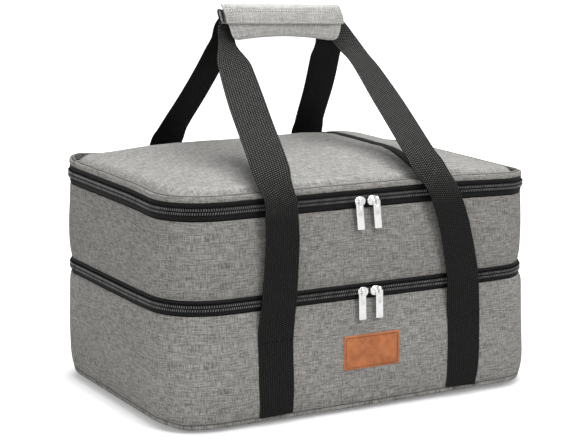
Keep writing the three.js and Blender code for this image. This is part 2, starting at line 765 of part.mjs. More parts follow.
function pullGeometry() {
  const radius = 0.8;
  const top = PULL_CROSSBAR / 2;
  const shape = roundedRectangle(PULL_WIDTH, PULL_LENGTH, radius);
  const eyeTop = PULL_LENGTH / 2 - PULL_CROSSBAR;
  const eye = new THREE.Path();
  eye.moveTo(-PULL_EYE_WIDTH / 2, eyeTop);
  eye.lineTo(-PULL_EYE_WIDTH / 2, eyeTop - PULL_EYE_LENGTH);
  eye.lineTo(PULL_EYE_WIDTH / 2, eyeTop - PULL_EYE_LENGTH);
  eye.lineTo(PULL_EYE_WIDTH / 2, eyeTop);
  eye.closePath();
  shape.holes.push(eye);
  const geometry = uprightPlate(shape, crossbarY - PULL_THICKNESS / 2, PULL_THICKNESS);
  geometry.translate(0, 0, top - PULL_LENGTH / 2);
  return geometry;
}

function buildSliders() {
  const zips = [["upper", UPPER_ZIP_Z, UPPER_SLIDERS_X], ["lower", LOWER_ZIP_Z, LOWER_SLIDERS_X]];
  for (const [zip, z, middleX] of zips) {
    for (const [hand, nose] of [["left", 1], ["right", -1]]) {
      const x = middleX - (nose * SLIDER_SPACING) / 2;
      add(`${zip}_${hand}_slider`, sliderGeometry(nose), STEEL).position.set(x, 0, z);
      add(`${zip}_${hand}_pull`, pullGeometry(), STEEL).position.set(x, 0, z);
    }
  }
}

buildLowerBox();
buildUpperBox();
buildZips();
buildLid();
buildLabel();
buildStraps();
buildWrap();
buildSliders();

export default bag;
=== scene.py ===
"""Looks of an insulated lunch bag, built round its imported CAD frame. Sizes here are millimetres."""

import math

import bpy
import numpy as np
from mathutils import Matrix, Vector, noise


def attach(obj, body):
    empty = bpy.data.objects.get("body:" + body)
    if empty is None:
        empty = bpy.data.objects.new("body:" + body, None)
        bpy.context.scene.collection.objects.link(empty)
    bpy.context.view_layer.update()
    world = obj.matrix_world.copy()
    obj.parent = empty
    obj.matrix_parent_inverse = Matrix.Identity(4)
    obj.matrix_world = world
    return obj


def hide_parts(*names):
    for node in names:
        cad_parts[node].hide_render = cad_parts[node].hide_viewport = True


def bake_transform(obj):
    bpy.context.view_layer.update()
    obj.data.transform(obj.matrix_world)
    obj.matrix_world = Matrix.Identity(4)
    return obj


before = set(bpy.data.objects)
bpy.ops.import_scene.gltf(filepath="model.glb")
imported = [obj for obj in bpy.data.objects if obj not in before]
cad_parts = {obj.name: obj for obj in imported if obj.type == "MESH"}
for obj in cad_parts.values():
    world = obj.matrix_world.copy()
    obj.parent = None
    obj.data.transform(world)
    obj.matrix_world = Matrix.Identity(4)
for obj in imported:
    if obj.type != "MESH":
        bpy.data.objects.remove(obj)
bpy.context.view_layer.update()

MM = 0.001
TURN = 2 * math.pi

# Sizes of the CAD model that the soft pieces follow

WIDTH, DEPTH, CORNER = 410, 280, 50
LOWER_ZIP_Z, UPPER_ZIP_Z = 121, 212
LOWER_BAND, UPPER_BAND = 7.8, 9.6
BASE_RIM, BASE_DRAW_IN, BASE_CURVE = 6, 2.4, 30
HINGE_WIDTH = 300
LINER_INSET = 7.8
INNER_INSET = 8.8
LOWER_FLOOR, LOWER_LIP = 11.8, 119
UNDER_FLOOR, UPPER_FLOOR, UPPER_LIP = 121.5, 129.6, 210.5
LID_EDGE_Z, LID_RISE, LID_INSET, CROWN_POWER = 224.5, 21.5, 2.9, 2.8
LID_TOP_CLEAR = LID_EDGE_Z + LID_RISE + 3
WEB_WIDTH, WEB = 38, 1.8
SEWN_TOP, SPLIT_Z, FOLD_TOP = 70, 82.5, 95
STRAP_X = 106
SEWN_Y, FOLD_TOP_Y, STAND_Y = 141.2, 143, 150
GRIP_X, GRIP_Y, GRIP_Z, GRIP_WIDTH = -25, 6.2, 368.5, 24
WRAP_LENGTH, WRAP_UNDER_LENGTH, WRAP_HALF_DEPTH, WRAP_SHEET = 134, 66, 12, 2.4
LID_BAND_X, LID_BAND_HALF = 75, 5.5
# The front face as a whole sits this far to the right of the plan's middle
FRONT_SHIFT = 4.3

# Materials


class Wiring:
    """Adds nodes to a material or world, mostly as n below. An input is a value or a node's output."""

    def __init__(self, owner):
        owner.use_nodes = True
        self.tree = owner.node_tree

    def feed(self, socket, value):
        if isinstance(value, bpy.types.NodeSocket):
            self.tree.links.new(value, socket)
        elif socket.type == "RGBA":
            socket.default_value = (*value, 1)
        else:
            socket.default_value = value

    def add(self, kind, inputs=(), **settings):
        node = self.tree.nodes.new("ShaderNode" + kind)
        for key, value in settings.items():
            setattr(node, key, value)
        for key, value in dict(inputs).items():
            self.feed(node.inputs[key], value)
        return node.outputs

    def maths(self, operation, *values):
        return self.add("Math", dict(enumerate(values)), operation=operation)[0]

    def times(self, first, second):
        return self.maths("MULTIPLY", first, second)

    def plus(self, first, second):
        return self.maths("ADD", first, second)

    def sine(self, value, rate):
        return self.maths("SINE", self.times(value, rate))

    def remap(self, value, low, high, to_low=0.0, to_high=1.0):
        return self.add("MapRange", {0: value, 1: low, 2: high, 3: to_low, 4: to_high})[0]

    def mix(self, factor, first, second, blend_type="MIX"):
        inputs = {0: factor, 6: first, 7: second}
        return self.add("Mix", inputs, data_type="RGBA", blend_type=blend_type)[2]

    def split(self, vector):
        return self.add("SeparateXYZ", {0: vector})

    def place(self):
        """The point on the object itself, in metres."""
        return self.add("TexCoord")["Object"]

    def cloth(self):
        """The cloth's two coordinates, in metres."""
        self.uv = self.add("UVMap", uv_map="cloth")[0]
        return self.split(self.uv)[:2]

    def grain(self, scale, detail):
        inputs = {"Vector": self.place(), "Scale": scale, "Detail": detail}
        return self.add("TexNoise", inputs)[0]

    def yarns(self, cell_u, cell_v, detail=2.0, offset=0.0):
        """Noise over the cloth, stretched to cells of these millimetres."""
        scale = (1000 / cell_u, 1000 / cell_v, 1)
        inputs = {"Vector": self.uv, "Scale": scale, "Location": (offset, offset, offset)}
        mapped = self.add("Mapping", inputs)[0]
        return self.add("TexNoise", {"Vector": mapped, "Scale": 1.0, "Detail": detail})[0]


class Surface(Wiring):
    """A new material, with its Principled sockets set by name."""

    def __init__(self, name, **sockets):
        self.material = bpy.data.materials.new(name)
        super().__init__(self.material)
        self.shader = self.tree.nodes["Principled BSDF"]
        for socket, value in sockets.items():
            self.feed(self.shader.inputs[socket.replace("_", " ")], value)

    def dress(self, shade, height, depth, roughness=None):
        """Gives the material its colour, and a bump of that depth in millimetres."""
        inputs = {"Height": height, "Distance": depth * MM}
        self.feed(self.shader.inputs["Base Color"], shade)
        self.feed(self.shader.inputs["Normal"], self.add("Bump", inputs)[0])
        if roughness:
            self.feed(self.shader.inputs["Roughness"], roughness)
        return self.material


def melange(name, dark, light, contrast):
    """A woven melange: two sets of uneven yarns that cross, with slubs and a slow drift of tone."""
    n = Surface(name, Roughness=0.92, Specular_IOR_Level=0.15)
    u, v = n.cloth()
    yarn, slub, weave = 0.85, 9.0, TURN / (0.9 * MM)
    threads = n.plus(n.yarns(yarn, slub), n.yarns(slub, yarn, offset=7.3))
    fine = n.yarns(1.1, 1.1, detail=1.0, offset=1.7)
    tone = n.plus(n.times(threads, 0.5), n.times(n.maths("SUBTRACT", fine, 0.5), 0.3))
    spread = 0.2 / contrast
    tone = n.remap(tone, 0.5 - spread, 0.5 + spread)
    drift = n.remap(n.yarns(60, 60, offset=5.0), 0.3, 0.7, 0.95, 1.04)
    grey = n.add("CombineColor", {0: drift, 1: drift, 2: drift})[0]
    shade = n.mix(1.0, n.mix(tone, dark, light), grey, "MULTIPLY")
    over = n.times(n.sine(u, weave), n.sine(v, weave))
    return n.dress(shade, n.plus(n.times(over, 0.35), tone), 0.12)


def ribbed_webbing(name, dark, light):
    """Webbing: ribs across the band, broken by its lengthwise yarns. u runs across and v along."""
    n = Surface(name, Roughness=0.7, Specular_IOR_Level=0.12)
    u, v = n.cloth()
    rib, yarn = 2.1, 2.4
    column = n.times(u, 1 / (yarn * MM))
    row = n.plus(n.times(v, 1 / (rib * MM)), n.times(n.maths("FLOOR", column), 0.5))
    across, along = (n.maths("ABSOLUTE", n.sine(value, math.pi)) for value in (column, row))
    height = n.times(n.maths("POWER", across, 0.5), along)
    wear = n.remap(n.yarns(2, 9), 0.35, 0.7, 0.5, 1.0)
    # painted top light: the webbing is drawn brighter above the bag, where the loops face the lamps overhead
    painted_top_light = n.remap(n.split(n.place())[2], 0.2, 0.27, 0.4, 2.4)
    tone = n.times(n.remap(height, 0.6, 1.0), n.times(wear, painted_top_light))
    return n.dress(n.mix(tone, dark, light), height, 0.45)


def zip_tape(name):
    """Fine twill tape."""
    n = Surface(name, Roughness=0.6, Specular_IOR_Level=0.12)
    u, v = n.cloth()
    twill = n.sine(n.plus(u, v), TURN / (1.1 * MM))
    height = n.plus(n.times(twill, 0.3), n.yarns(0.8, 0.8))
    tone = n.remap(height, 0.2, 0.9)
    return n.dress(n.mix(tone, (0.003, 0.003, 0.003), (0.012, 0.012, 0.012)), height, 0.1)


def coil_nylon(name):
    """Black nylon with a painted highlight along the crest of each turn, stronger in some stretches than
    others. u counts the turns, in millimetres.
    """
    n = Surface(name, Roughness=0.3, Specular_IOR_Level=0.19)
    u, _ = n.cloth()
    turn = n.maths("COSINE", n.times(u, TURN / MM))
    # painted highlight on each turn's crest, its strength varying along the coil
    glint_variation = n.remap(n.yarns(4, 400), 0.3, 0.7, 0.4, 1.0)
    painted_glint = n.times(n.remap(turn, 0.55, 1.0), glint_variation)
    return n.dress(n.mix(painted_glint, (0.004, 0.004, 0.004), (0.27, 0.27, 0.265)), painted_glint, 0.02)


def mottled(name, dark, light, cell, roughness, depth):
    """A plain material with grain: two tones and a bump from one noise of about a cell's size."""
    n = Surface(name, Roughness=roughness)
    grain = n.grain(1000 / cell, 3.0)
    return n.dress(n.mix(n.remap(grain, 0.35, 0.65), dark, light), grain, depth)


def leather(name):
    n = Surface(name, Roughness=0.5, Specular_IOR_Level=0.35)
    cells = n.add("TexVoronoi", {"Vector": n.place(), "Scale": 900.0})["Distance"]
    pores = n.grain(160.0, 5.0)
    tone = n.plus(n.times(pores, 0.6), n.times(n.grain(45.0, 2.0), 0.4))
    shade = n.mix(n.remap(tone, 0.35, 0.65), (0.335, 0.103, 0.034), (0.52, 0.18, 0.064))
    height = n.plus(cells, n.times(pores, 0.6))
    return n.dress(shade, height, 0.12, n.remap(pores, 0.3, 0.7, 0.42, 0.6))


def plated_metal(name):
    n = Surface(name, Metallic=1.0, Roughness=0.2)
    rubs = n.grain(220.0, 4.0)
    shade = n.mix(rubs, (0.8, 0.8, 0.8), (0.95, 0.95, 0.94))
    return n.dress(shade, rubs, 0.02, n.remap(rubs, 0.3, 0.7, 0.14, 0.28))


def foil_lining(name):
    """Heat-sealed silver lining: small facets that catch the light, over slow waves."""
    n = Surface(name, Metallic=0.65, Roughness=0.33)
    inputs = {"Vector": n.place(), "Scale": 95.0}
    facets = n.add("TexVoronoi", inputs, feature="SMOOTH_F1")["Distance"]
    waves = n.grain(28.0, 4.0)
    return n.dress(n.mix(waves, (0.5, 0.52, 0.55), (0.72, 0.74, 0.76)), n.plus(facets, waves), 1.2)


UPPER_CLOTH = melange("upper_cloth", (0.104, 0.099, 0.093), (0.362, 0.352, 0.334), 1.3)
SIDE_CLOTH = melange("side_cloth", (0.114, 0.109, 0.103), (0.4, 0.39, 0.37), 1.3)
LID_CLOTH = melange("lid_cloth", (0.16, 0.157, 0.15), (0.48, 0.475, 0.458), 1.1)
WRAP_CLOTH = melange("wrap_cloth", (0.31, 0.306, 0.294), (0.7, 0.69, 0.67), 1.0)
WEBBING = ribbed_webbing("webbing_black", (0.002, 0.002, 0.002), (0.12, 0.12, 0.114))
# a near-black copy of the webbing for the loops' inner side: painted shade
WEBBING_SHADED = ribbed_webbing("webbing_painted_shade", (0.002, 0.002, 0.002), (0.006, 0.006, 0.006))
BAND_CLOTH = ribbed_webbing("band_black", (0.003, 0.003, 0.003), (0.02, 0.02, 0.02))
TAPE = zip_tape("tape_black")
COIL = coil_nylon("coil_nylon")
PALE_THREAD = mottled("thread_pale", (0.7, 0.69, 0.67), (0.9, 0.89, 0.87), 0.6, 0.8, 0.05)
TAN_THREAD = mottled("thread_brown", (0.12, 0.03, 0.012), (0.22, 0.06, 0.022), 0.6, 0.8, 0.05)
SEAM = mottled("seam_grey", (0.05, 0.048, 0.045), (0.14, 0.135, 0.13), 0.9, 0.9, 0.1)
# a grey darker than the lid cloth for the crown's seam cord: painted shade of its groove
SEAM_SHADE = mottled("seam_painted_shade", (0.16, 0.155, 0.15), (0.28, 0.275, 0.265), 0.9, 0.9, 0.1)
# dark dots for the needle holes: painted shade
HOLE_SHADE = mottled("needle_hole_shade", (0.05, 0.05, 0.05), (0.12, 0.12, 0.12), 0.6, 0.9, 0.05)
LEATHER = leather("leather_tan")
METAL = plated_metal("metal_plated")
LINING = foil_lining("lining_silver")
FOAM = mottled("foam_white", (0.7, 0.7, 0.66), (0.85, 0.85, 0.8), 1.2, 0.9, 0.15)
BOARD = mottled("board_grey", (0.07, 0.07, 0.075), (0.1, 0.1, 0.105), 2, 0.6, 0.05)
LOOP_PILE = mottled("pile_black", (0.006, 0.006, 0.006), (0.04, 0.04, 0.042), 0.7, 0.95, 0.5)

# How the filled bag gives: its ends lean a little, and the bands ride lower at the right


def ramp(value, low, high):
    t = np.clip((value - low) / (high - low), 0, 1)
    return t * t * (3 - 2 * t)


def lerp(a, b, t):
    return a + (b - a) * t


def bell(value):
    return np.exp(-(value**2))


def signed_power(value, power):
    return np.copysign(abs(value) ** power, value)


def settled(points):
    """Points of the stiff model, moved to where the soft, filled bag has them."""
    x, y, z = points.T
    right_end, left_end = ramp(x, 120, 205), ramp(-x, 120, 205)
    low = 1 - ramp(z, 104, 120)
    lean = right_end * (4.5 * low - 3.5 + 5 * (1 - ramp(z, 0, 95))) - left_end * (3.5 + 2 * low)
    front = ramp(-y, 100, 135) * (1 - ramp(abs(x), 150, 195)) * (1 - ramp(z, 212, 240))
    tilt = ramp(z, 320, 350) * 0.038 * (GRIP_X - x)
    rear_left = ramp(-x, 150, 205) * ramp(y, -110, -40)
    give = 0.03 * rear_left - 0.045 * ramp(x, 60, 200)
    under_lid = 1 - ramp(z, 240, 300)
    height = np.clip(z - 150, -40, 75) * ramp(z, 20, 100) * under_lid
    peak = ramp(z, 205, 226) * np.exp(-((x + 195) ** 2 + (y - 125) ** 2) / 26**2)
    sink = ramp(z, 205, 226) * under_lid * ramp(x, 110, 200) * ramp(y, -142, -90)
    # the base's edge curls up from the floor, most at the two ends
    out = np.maximum(abs(x) / (WIDTH / 2), abs(y) / (DEPTH / 2))
    rim = ramp(out, 0.76, 1.0) * (1 - ramp(z, 0, 80))
    at_left = 5.2 * ramp(-x, 150, 198) * ramp(y, -160, -95)
    curl = rim * np.maximum(at_left, 2.2 + 2.2 * ramp(x, -20, 180))
    drop = give * height + 2.5 * peak - 3.4 * sink + tilt + curl
    return np.column_stack([x + lean + FRONT_SHIFT * front, y, z + drop])


# Meshes


def link(name, data):
    """A new object in the scene."""
    obj = bpy.data.objects.new(name, data)
    bpy.context.scene.collection.objects.link(obj)
    return obj


def piece(name, points, faces, look, body, *nodes, uv=None):
    """A smooth-shaded mesh from points in millimetres. A look is (material, slot); its slot is not used."""
    material, slot = look
    points = np.asarray(points, float).reshape(-1, 3)
    data = bpy.data.meshes.new(name)
    data.from_pydata((settled(points) * MM).tolist(), [], faces)
    if uv is not None:
        cloth = data.uv_layers.new(name="cloth")
        cloth.data.foreach_set("uv", (uv * MM).ravel())
    data.materials.append(material)
    data.polygons.foreach_set("use_smooth", [True] * len(data.polygons))
    data.update()
    obj = link(name, data)
    if body:
        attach(obj, body)
    if nodes:
        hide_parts(*nodes)
    return obj


def grid(rows, u=None, v=None, close_v=False, close_u=False, caps=False):
    """Faces and cloth coordinates of a grid of points: u per column, v per row, one more if closed."""
    count_rows, count = np.shape(rows)[:2]
    u, v = (np.zeros(n + 1) if w is None else w for w, n in ((u, count), (v, count_rows)))
    i = np.arange(count_rows if close_v else count_rows - 1)[:, None]
    j = np.arange(count if close_u else count - 1)[None, :]
    i2, j2 = (i + 1) % count_rows, (j + 1) % count
    corners = [(i, j), (i, j2), (i2, j2), (i2, j)]
    quads = np.stack([a * count + b for a, b in corners], -1).reshape(-1, 4)
    spots = [(i, j), (i, j + 1), (i + 1, j + 1), (i + 1, j)]
    uv = np.stack([np.stack([u[b] + 0 * a, v[a] + 0 * b], -1) for a, b in spots], 2).reshape(-1, 2)
    faces = quads.tolist()
    if caps:
        for column, turn in ((0, 1), (count - 1, -1)):
            ring = range(count_rows)[::turn]
            faces.append([r * count + column for r in ring])
            uv = np.vstack([uv, [[u[column], v[r]] for r in ring]])
    return faces, uv


def per_corner(values, faces):
    """Cloth coordinates from one pair of values for each point."""
    return np.array([values[k] for face in faces for k in face])


def layer(name, rows, *rest):
    """A layer of rings, from its underside's middle round its edge to its top's. It is cut in plan."""
    faces, _ = grid(rows, close_u=True)
    points, count = np.concatenate(rows), len(rows[0])
    faces += [list(range(count))[::-1], list(range(len(points) - count, len(points)))]
    return piece(name, points, faces, *rest, uv=per_corner(points[:, :2], faces))


def unit(vectors):
    return vectors / np.linalg.norm(vectors, axis=1)[:, None]


def headings(path):
    return unit(np.gradient(path, axis=0))


def lengths(points, closed=False):
    """Running length along points, with the way back to the first where they close."""
    points = np.asarray(points, float)
    if closed:
        points = np.vstack([points, points[:1]])
    steps = np.linalg.norm(np.diff(points, axis=0), axis=1)
    return np.concatenate([[0], np.cumsum(steps)])


def smooth(points, per_span):
    """A centripetal Catmull-Rom curve through points, with a count of steps to each span."""
    points = np.asarray(points, float)
    first, last = 2 * points[0] - points[1], 2 * points[-1] - points[-2]
    padded = np.vstack([first, points, last])
    found = []
    spans = len(padded) - 3
    for i in range(spans):
        p0, p1, p2, p3 = padded[i : i + 4]
        d = [max(np.linalg.norm(b - a), 1e-9) ** 0.5 for a, b in ((p0, p1), (p1, p2), (p2, p3))]
        m1 = ((p1 - p0) / d[0] - (p2 - p0) / (d[0] + d[1]) + (p2 - p1) / d[1]) * d[1]
        m2 = ((p2 - p1) / d[1] - (p3 - p1) / (d[1] + d[2]) + (p3 - p2) / d[2]) * d[1]
        for t in np.linspace(0, 1, per_span + 1)[: None if i == spans - 1 else -1]:
            h = (2 * t**3 - 3 * t**2 + 1, t**3 - 2 * t**2 + t, 3 * t**2 - 2 * t**3, t**3 - t**2)
            found.append(h[0] * p1 + h[1] * m1 + h[2] * p2 + h[3] * m2)
    return np.array(found)


def tube(path, radius, sides, up):
    """Rows of a tube along a path; up leads its first side."""
    tangent = headings(path)
    side = unit(np.cross(tangent, up))
    other = np.cross(side, tangent)
    angles = [TURN * k / sides for k in range(sides)]
    return np.array([path + radius * (math.cos(a) * side + math.sin(a) * other) for a in angles])


def oval(out, z, half_out, half_z, sides):
    """A section of (out, z) points round a middle."""
    angles = np.linspace(0, TURN, sides + 1)[:-1]
    return [(out + half_out * math.cos(a), z + half_z * math.sin(a)) for a in angles]


def lumps(x, y, cell, seed):
    """Smooth noise from -1 to 1 over a plane, with features of about a cell's size."""
    return noise.noise(Vector((x / cell, y / cell, seed * 7.31)))


def ripple(size, cell, seed, upward=1):
    """A relief of small waves along a wall; upward below 1 draws them out in height."""
    return lambda s, z: size * lumps(s, z * upward, cell, seed)


# Plan of the bag


def outline(half_gap):
    """Points, outward normals and running length round the plan, with or without a gap at its back."""
    a, b, r = WIDTH / 2, DEPTH / 2, CORNER
    corners = [(r - a, b - r, 90), (r - a, r - b, 180), (a - r, r - b, 270), (a - r, b - r, 0)]
    runs = [((-half_gap, b), (r - a, b)), ((-a, b - r), (-a, r - b)), ((r - a, -b), (a - r, -b))]
    runs += [((a, r - b), (a, b - r)), ((a - r, b), (half_gap, b))]
    points, normals, step = [], [], 5
    for k, (start, end) in enumerate(np.array(runs, float)):
        span = np.linalg.norm(end - start)
        way = (end - start) / span
        for t in np.linspace(0, 1, max(int(span / step), 1) + 1)[: -1 if k < 4 else None]:
            points.append(start + (end - start) * t)
            normals.append((way[1], -way[0]))
        if k < 4:
            x, y, at = corners[k]
            for angle in np.radians(at + np.linspace(0, 90, 15)[:-1]):
                normals.append((math.cos(angle), math.sin(angle)))
                points.append((x + r * math.cos(angle), y + r * math.sin(angle)))
    if not half_gap:
        points, normals = points[:-1], normals[:-1]
    return np.array(points), np.array(normals), lengths(points, closed=not half_gap)


ROUND = outline(0)
OPEN = outline(HINGE_WIDTH / 2)


def ring_at(plan, out, z, relief):
    """The plan, moved outward by out and the relief, at a height."""
    points, normals, run = plan
    extra = np.array([relief(s, z) if relief else 0 for s, _ in zip(run, points)])
    return np.column_stack([points + normals * (out + extra)[:, None], np.full(len(points), z)])


def swept(name, section, relief, *rest, plan=ROUND):
    """A piece swept round the plan from a closed section of (out, z) points; relief adds to out."""
    rows = [ring_at(plan, out, z, relief) for out, z in section]
    whole = plan is ROUND
    v = lengths(section, closed=True)
    faces, uv = grid(rows, plan[2], v, close_v=True, close_u=whole, caps=not whole)
    return piece(name, rows, faces, *rest, uv=uv)


def tray(name, section, relief, *rest):
    """A plate or tray: (out, z) corners from its underside's middle to its top's."""
    rows = [ring_at(ROUND, out, z, relief) for out, z in section]
    under, top = ([edge * (k, k, 1) for k in (0.75, 0.4, 0.02)] for edge in (rows[0], rows[-1]))
    return layer(name, under[::-1] + rows + top, *rest)


# Fabric walls


def base_out(z):
    rise = min((z - BASE_RIM) / (BASE_CURVE - BASE_RIM), 1)
    return -BASE_DRAW_IN * max(1 - rise, 0) ** 2.2


def wall_relief(low, high, swell, seed):
    """Soft walls: a swell between the seams, slow waves, and puckers that die away from each seam."""

    def relief(s, z):
        t = (z - low) / (high - low)
        arch = math.sin(math.pi * t) if 0 < t < 1 else 0
        waves = 0.7 * lumps(s, z * 1.6, 70, seed) * arch**0.5
        pucker = 0.45 * lumps(s, z * 0.4, 11, seed + 1) * math.exp(-min(z - low, high - z) / 7)
        return swell * arch**0.7 + waves + pucker

    return relief


def wall_section(low, high, out_at):
    """Outer face upward, a rolled top edge, and the inner face down again."""
    step, thickness = 4, 1.2
    heights = np.linspace(low + 0.5, high - 0.6, max(int((high - low) / step), 3))
    outer = [(out_at(z), z) for z in heights]
    inner = [(out - thickness, z) for out, z in outer[::-1]]
    roll = ((0.25, 0.1), (0.6, 0), (0.95, 0.1))
    top = [(out_at(high) - depth, high - dip) for depth, dip in roll]
    bottom = [(out_at(low) - depth, low + dip) for depth, dip in roll[::-1]]
    return outer + top + inner + bottom


def build_walls():
    lower_top = LOWER_ZIP_Z - LOWER_BAND
    upper_low, upper_top = LOWER_ZIP_Z + LOWER_BAND, UPPER_ZIP_Z - UPPER_BAND

    def upper_out(z):
        t = (z - upper_low) / (upper_top - upper_low)
        return -0.4 + 1.3 * min(t / 0.15, 1) * (1 - max(t - 0.5, 0) * 1.2)

    lower = wall_section(BASE_RIM + 0.3, lower_top, base_out), wall_relief(BASE_RIM, lower_top, 1.3, 1)
    upper = wall_section(upper_low - 0.6, upper_top, upper_out), wall_relief(upper_low, upper_top, 1.0, 5)
    for name, cloth, shape in (("lower", SIDE_CLOTH, lower), ("upper", UPPER_CLOTH, upper)):
        look = (cloth, "grey_fabric")
        wall = swept(name + "_body_cloth", *shape, look, name + "_box", name + "_shell")

    edge = -BASE_DRAW_IN - 0.3
    seam = oval(edge + 0.2, BASE_RIM + 0.15, 0.45, 0.6, 8)
    swept("base_seam", seam, ripple(0.15, 8, 65, 0.2), (SEAM, "grey_fabric"), "lower_box")
    turned_up = [(31, 0), (21, 0), (11, 0), (4, 0.2), (1.4, 1), (0.3, 2.6), (-0.1, 4.4), (0, BASE_RIM - 0.3)]
    turned_up += [(0.5, BASE_RIM), (1.2, BASE_RIM - 0.4), (1.6, 3.6), (3.4, 1.6), (11, 1.4), (21, 1.4)]
    section = [(edge - inward, z) for inward, z in turned_up + [(31, 1.4)]]
    look = (SIDE_CLOTH, "grey_fabric")
    base = tray("base_cloth", section, ripple(0.25, 14, 9), look, "lower_box", "base_panel")


def build_insides():
    """Base board, padding and lining of both compartments."""
    board = [(-33, 1.7), (-22, 1.7), (-10.2, 1.7), (-9.6, 2.2), (-9.6, 3.7), (-10.2, 4.2)]
    board += [(-22, 4.2), (-33, 4.2)]
    tray("base_board_plate", board, None, (BOARD, "board"), "lower_box", "base_board")
    base = [(-33, 4.5), (-22, 4.5), (-9.4, 4.6), (-8.4, 5.6), (-8.4, 9.4), (-9.4, 10.4)]
    base += [(-22, 10.5), (-33, 10.5)]
    low_lip, high_lip = LOWER_LIP - 0.4, UPPER_LIP - 0.4
    lower = [(-7, 12.6), (-3.5, 12), (-2.8, 40), (-2.6, 112), (-3, low_lip), (-6.8, low_lip), (-7.2, 60)]
    upper = [(-7.2, 129.4), (-3, 129.4), (-2.6, 150), (-2.6, 203), (-3, high_lip), (-6.8, high_lip)]
    upper += [(-7.2, 170)]
    upper_floor = [(-2.6, 123), (-2.2, 124), (-2.2, 127.4), (-2.8, 128.2)]
    pads = [("base", tray, base, "lower_box"), ("lower", swept, lower, "lower_box")]
    pads += [("upper", swept, upper, "upper_box"), ("upper_floor", tray, upper_floor, "upper_box")]
    for name, shape, section, body in pads:
        pad = shape(name + "_padding", section, None, (FOAM, "foam"), body, name + "_foam")
    skin = [(-2.6, UNDER_FLOOR), (-2.1, UNDER_FLOOR + 0.4), (-2.6, UNDER_FLOOR + 0.9)]
    under = tray("upper_floor_cloth", skin, None, (LINING, None), "upper_box", "upper_floor_skin")
    outer, inner = -LINER_INSET, -INNER_INSET
    # each lining is cut as a cross: its floor, and a wall on each of the four sides
    for name, floor, top, flat, area in (
        ("lower", LOWER_FLOOR, LOWER_LIP, (0.483, 0.623), 0.2368),
        ("upper", UPPER_FLOOR, UPPER_LIP, (0.432, 0.563), 0.2018),
    ):
        rise = [floor + (top - floor) * k for k in (0.1, 0.3, 0.5, 0.7, 0.9)]
        section = [(outer, floor - 0.9)] + [(outer, z) for z in rise] + [(outer + 0.1, top - 0.3)]
        section += [(outer - 0.4, top), (inner, top - 0.3)] + [(inner, z) for z in rise[::-1]]
        section += [(inner - 0.4, floor + 1.4), (inner - 2, floor)]
        look, waves = (LINING, "liner"), ripple(0.5, 40, 21)
        lining = tray(name + "_lining", section, waves, look, name + "_box", name + "_liner")
        folded = [(-2.4, top - 3), (-2.2, top - 0.1), (-2.8, top + 0.45), (inner - 0.2, top + 0.45)]
        folded += [(inner - 0.7, top), (inner - 0.6, top - 6), (inner - 0.1, top - 6.2)]
        folded += [(inner, top - 0.2), (-3, top - 0.2)]
        swept(name + "_lip_binding", folded, ripple(0.15, 9, 25), (TAPE, "zip_tape"), name + "_box")


# Zips


def tape_section(mid_z, reach, side):
    """A tape from under the wall's edge to the coil: outer face, then back along the inner."""
    outer = [(-1.75, reach + 1.6), (-1.3, reach - 0.2), (0, reach - 1.4), (0.5, reach * 0.72)]
    outer += [(0.2, reach * 0.5), (-0.2, 3.6), (-0.5, 2.4), (-0.6, 0.25)]
    inner = [(-1.7, 0.25), (-1.4, 3.6), (-1.3, reach * 0.6), (-1.9, reach - 0.6), (-2.3, reach + 1.6)]
    return [(out, mid_z + side * away) for out, away in outer + inner]


def build_coil(name, mid_z, side, body, phase):
    """A nylon coil: a flattened helix sewn along its tape. Its u counts the turns."""
    pitch, per_turn, sides = 2.0, 12, 5
    points, normals, run = OPEN
    turn = np.arange(int((run[-1] - 2) / pitch) * per_turn + 1) / per_turn
    s = np.clip(1 + (turn + phase) * pitch, 0, run[-1])
    at, out = (np.stack([np.interp(s, run, w[:, k]) for k in (0, 1)], -1) for w in (points, normals))
    out = unit(out)
    # a rounded loop: proud of the tape by a coil's depth, and reaching from the middle outward
    proud = 0.95 + signed_power(np.cos(TURN * turn), 0.8)
    reach = 1.75 - 1.45 * signed_power(np.sin(TURN * turn), 0.8)
    path = np.column_stack([at + out * proud[:, None], mid_z + side * reach])
    rows = tube(path, 0.42, sides, up=np.column_stack([out, np.zeros(len(out))]))
    faces, uv = grid(rows, turn, np.arange(sides + 1) / sides, close_v=True)
    piece(name, rows, faces, (COIL, "zip_tape"), body, uv=uv)


def stitch_row(name, path, normal, pitch, look, body, length, radius, phase=0):
    """A row of stitches along a path: short rounded threads that dip into the cloth at each end."""
    normal = np.broadcast_to(normal, path.shape)
    profile = [(0, 0.35, -0.9), (0.12, 0.85, -0.1), (0.5, 1, 0.45), (0.88, 0.85, -0.1), (1, 0.35, -0.9)]
    sides = 6
    run = lengths(path)
    count = max(int(run[-1] / pitch), 1)

    def found(values, s):
        return np.array([np.interp(s, run, values[:, k]) for k in range(3)])

    points = []
    for k in range(count - math.ceil(phase)):
        start = (k + 0.5 + phase - length / 2) * run[-1] / count
        for t, wide, lift in profile:
            s = start + t * length * run[-1] / count
            at, out = found(path, s), found(normal, s)
            across = np.cross(found(path, min(s + 0.3, run[-1])) - found(path, max(s - 0.3, 0)), out)
            across /= np.linalg.norm(across)
            for angle in (TURN * side / sides for side in range(sides)):
                turn = math.cos(angle) * across + math.sin(angle) * out
                points.append(at + out * lift * radius + turn * radius * wide)
    size = len(profile) * sides
    one, _ = grid(np.zeros((len(profile), sides, 3)), close_u=True)
    one += [list(range(sides))[::-1], list(range(size - sides, size))]
    faces = [[base + k for k in face] for base in range(0, len(points), size) for face in one]
    piece(name, points, faces, look, body)


# each zip's middle and half band, and the bodies under and over it
ZIPS = (
    ("lower", LOWER_ZIP_Z, LOWER_BAND, "lower_box", "upper_box"),
    ("upper", UPPER_ZIP_Z, UPPER_BAND, "upper_box", "lid"),
)


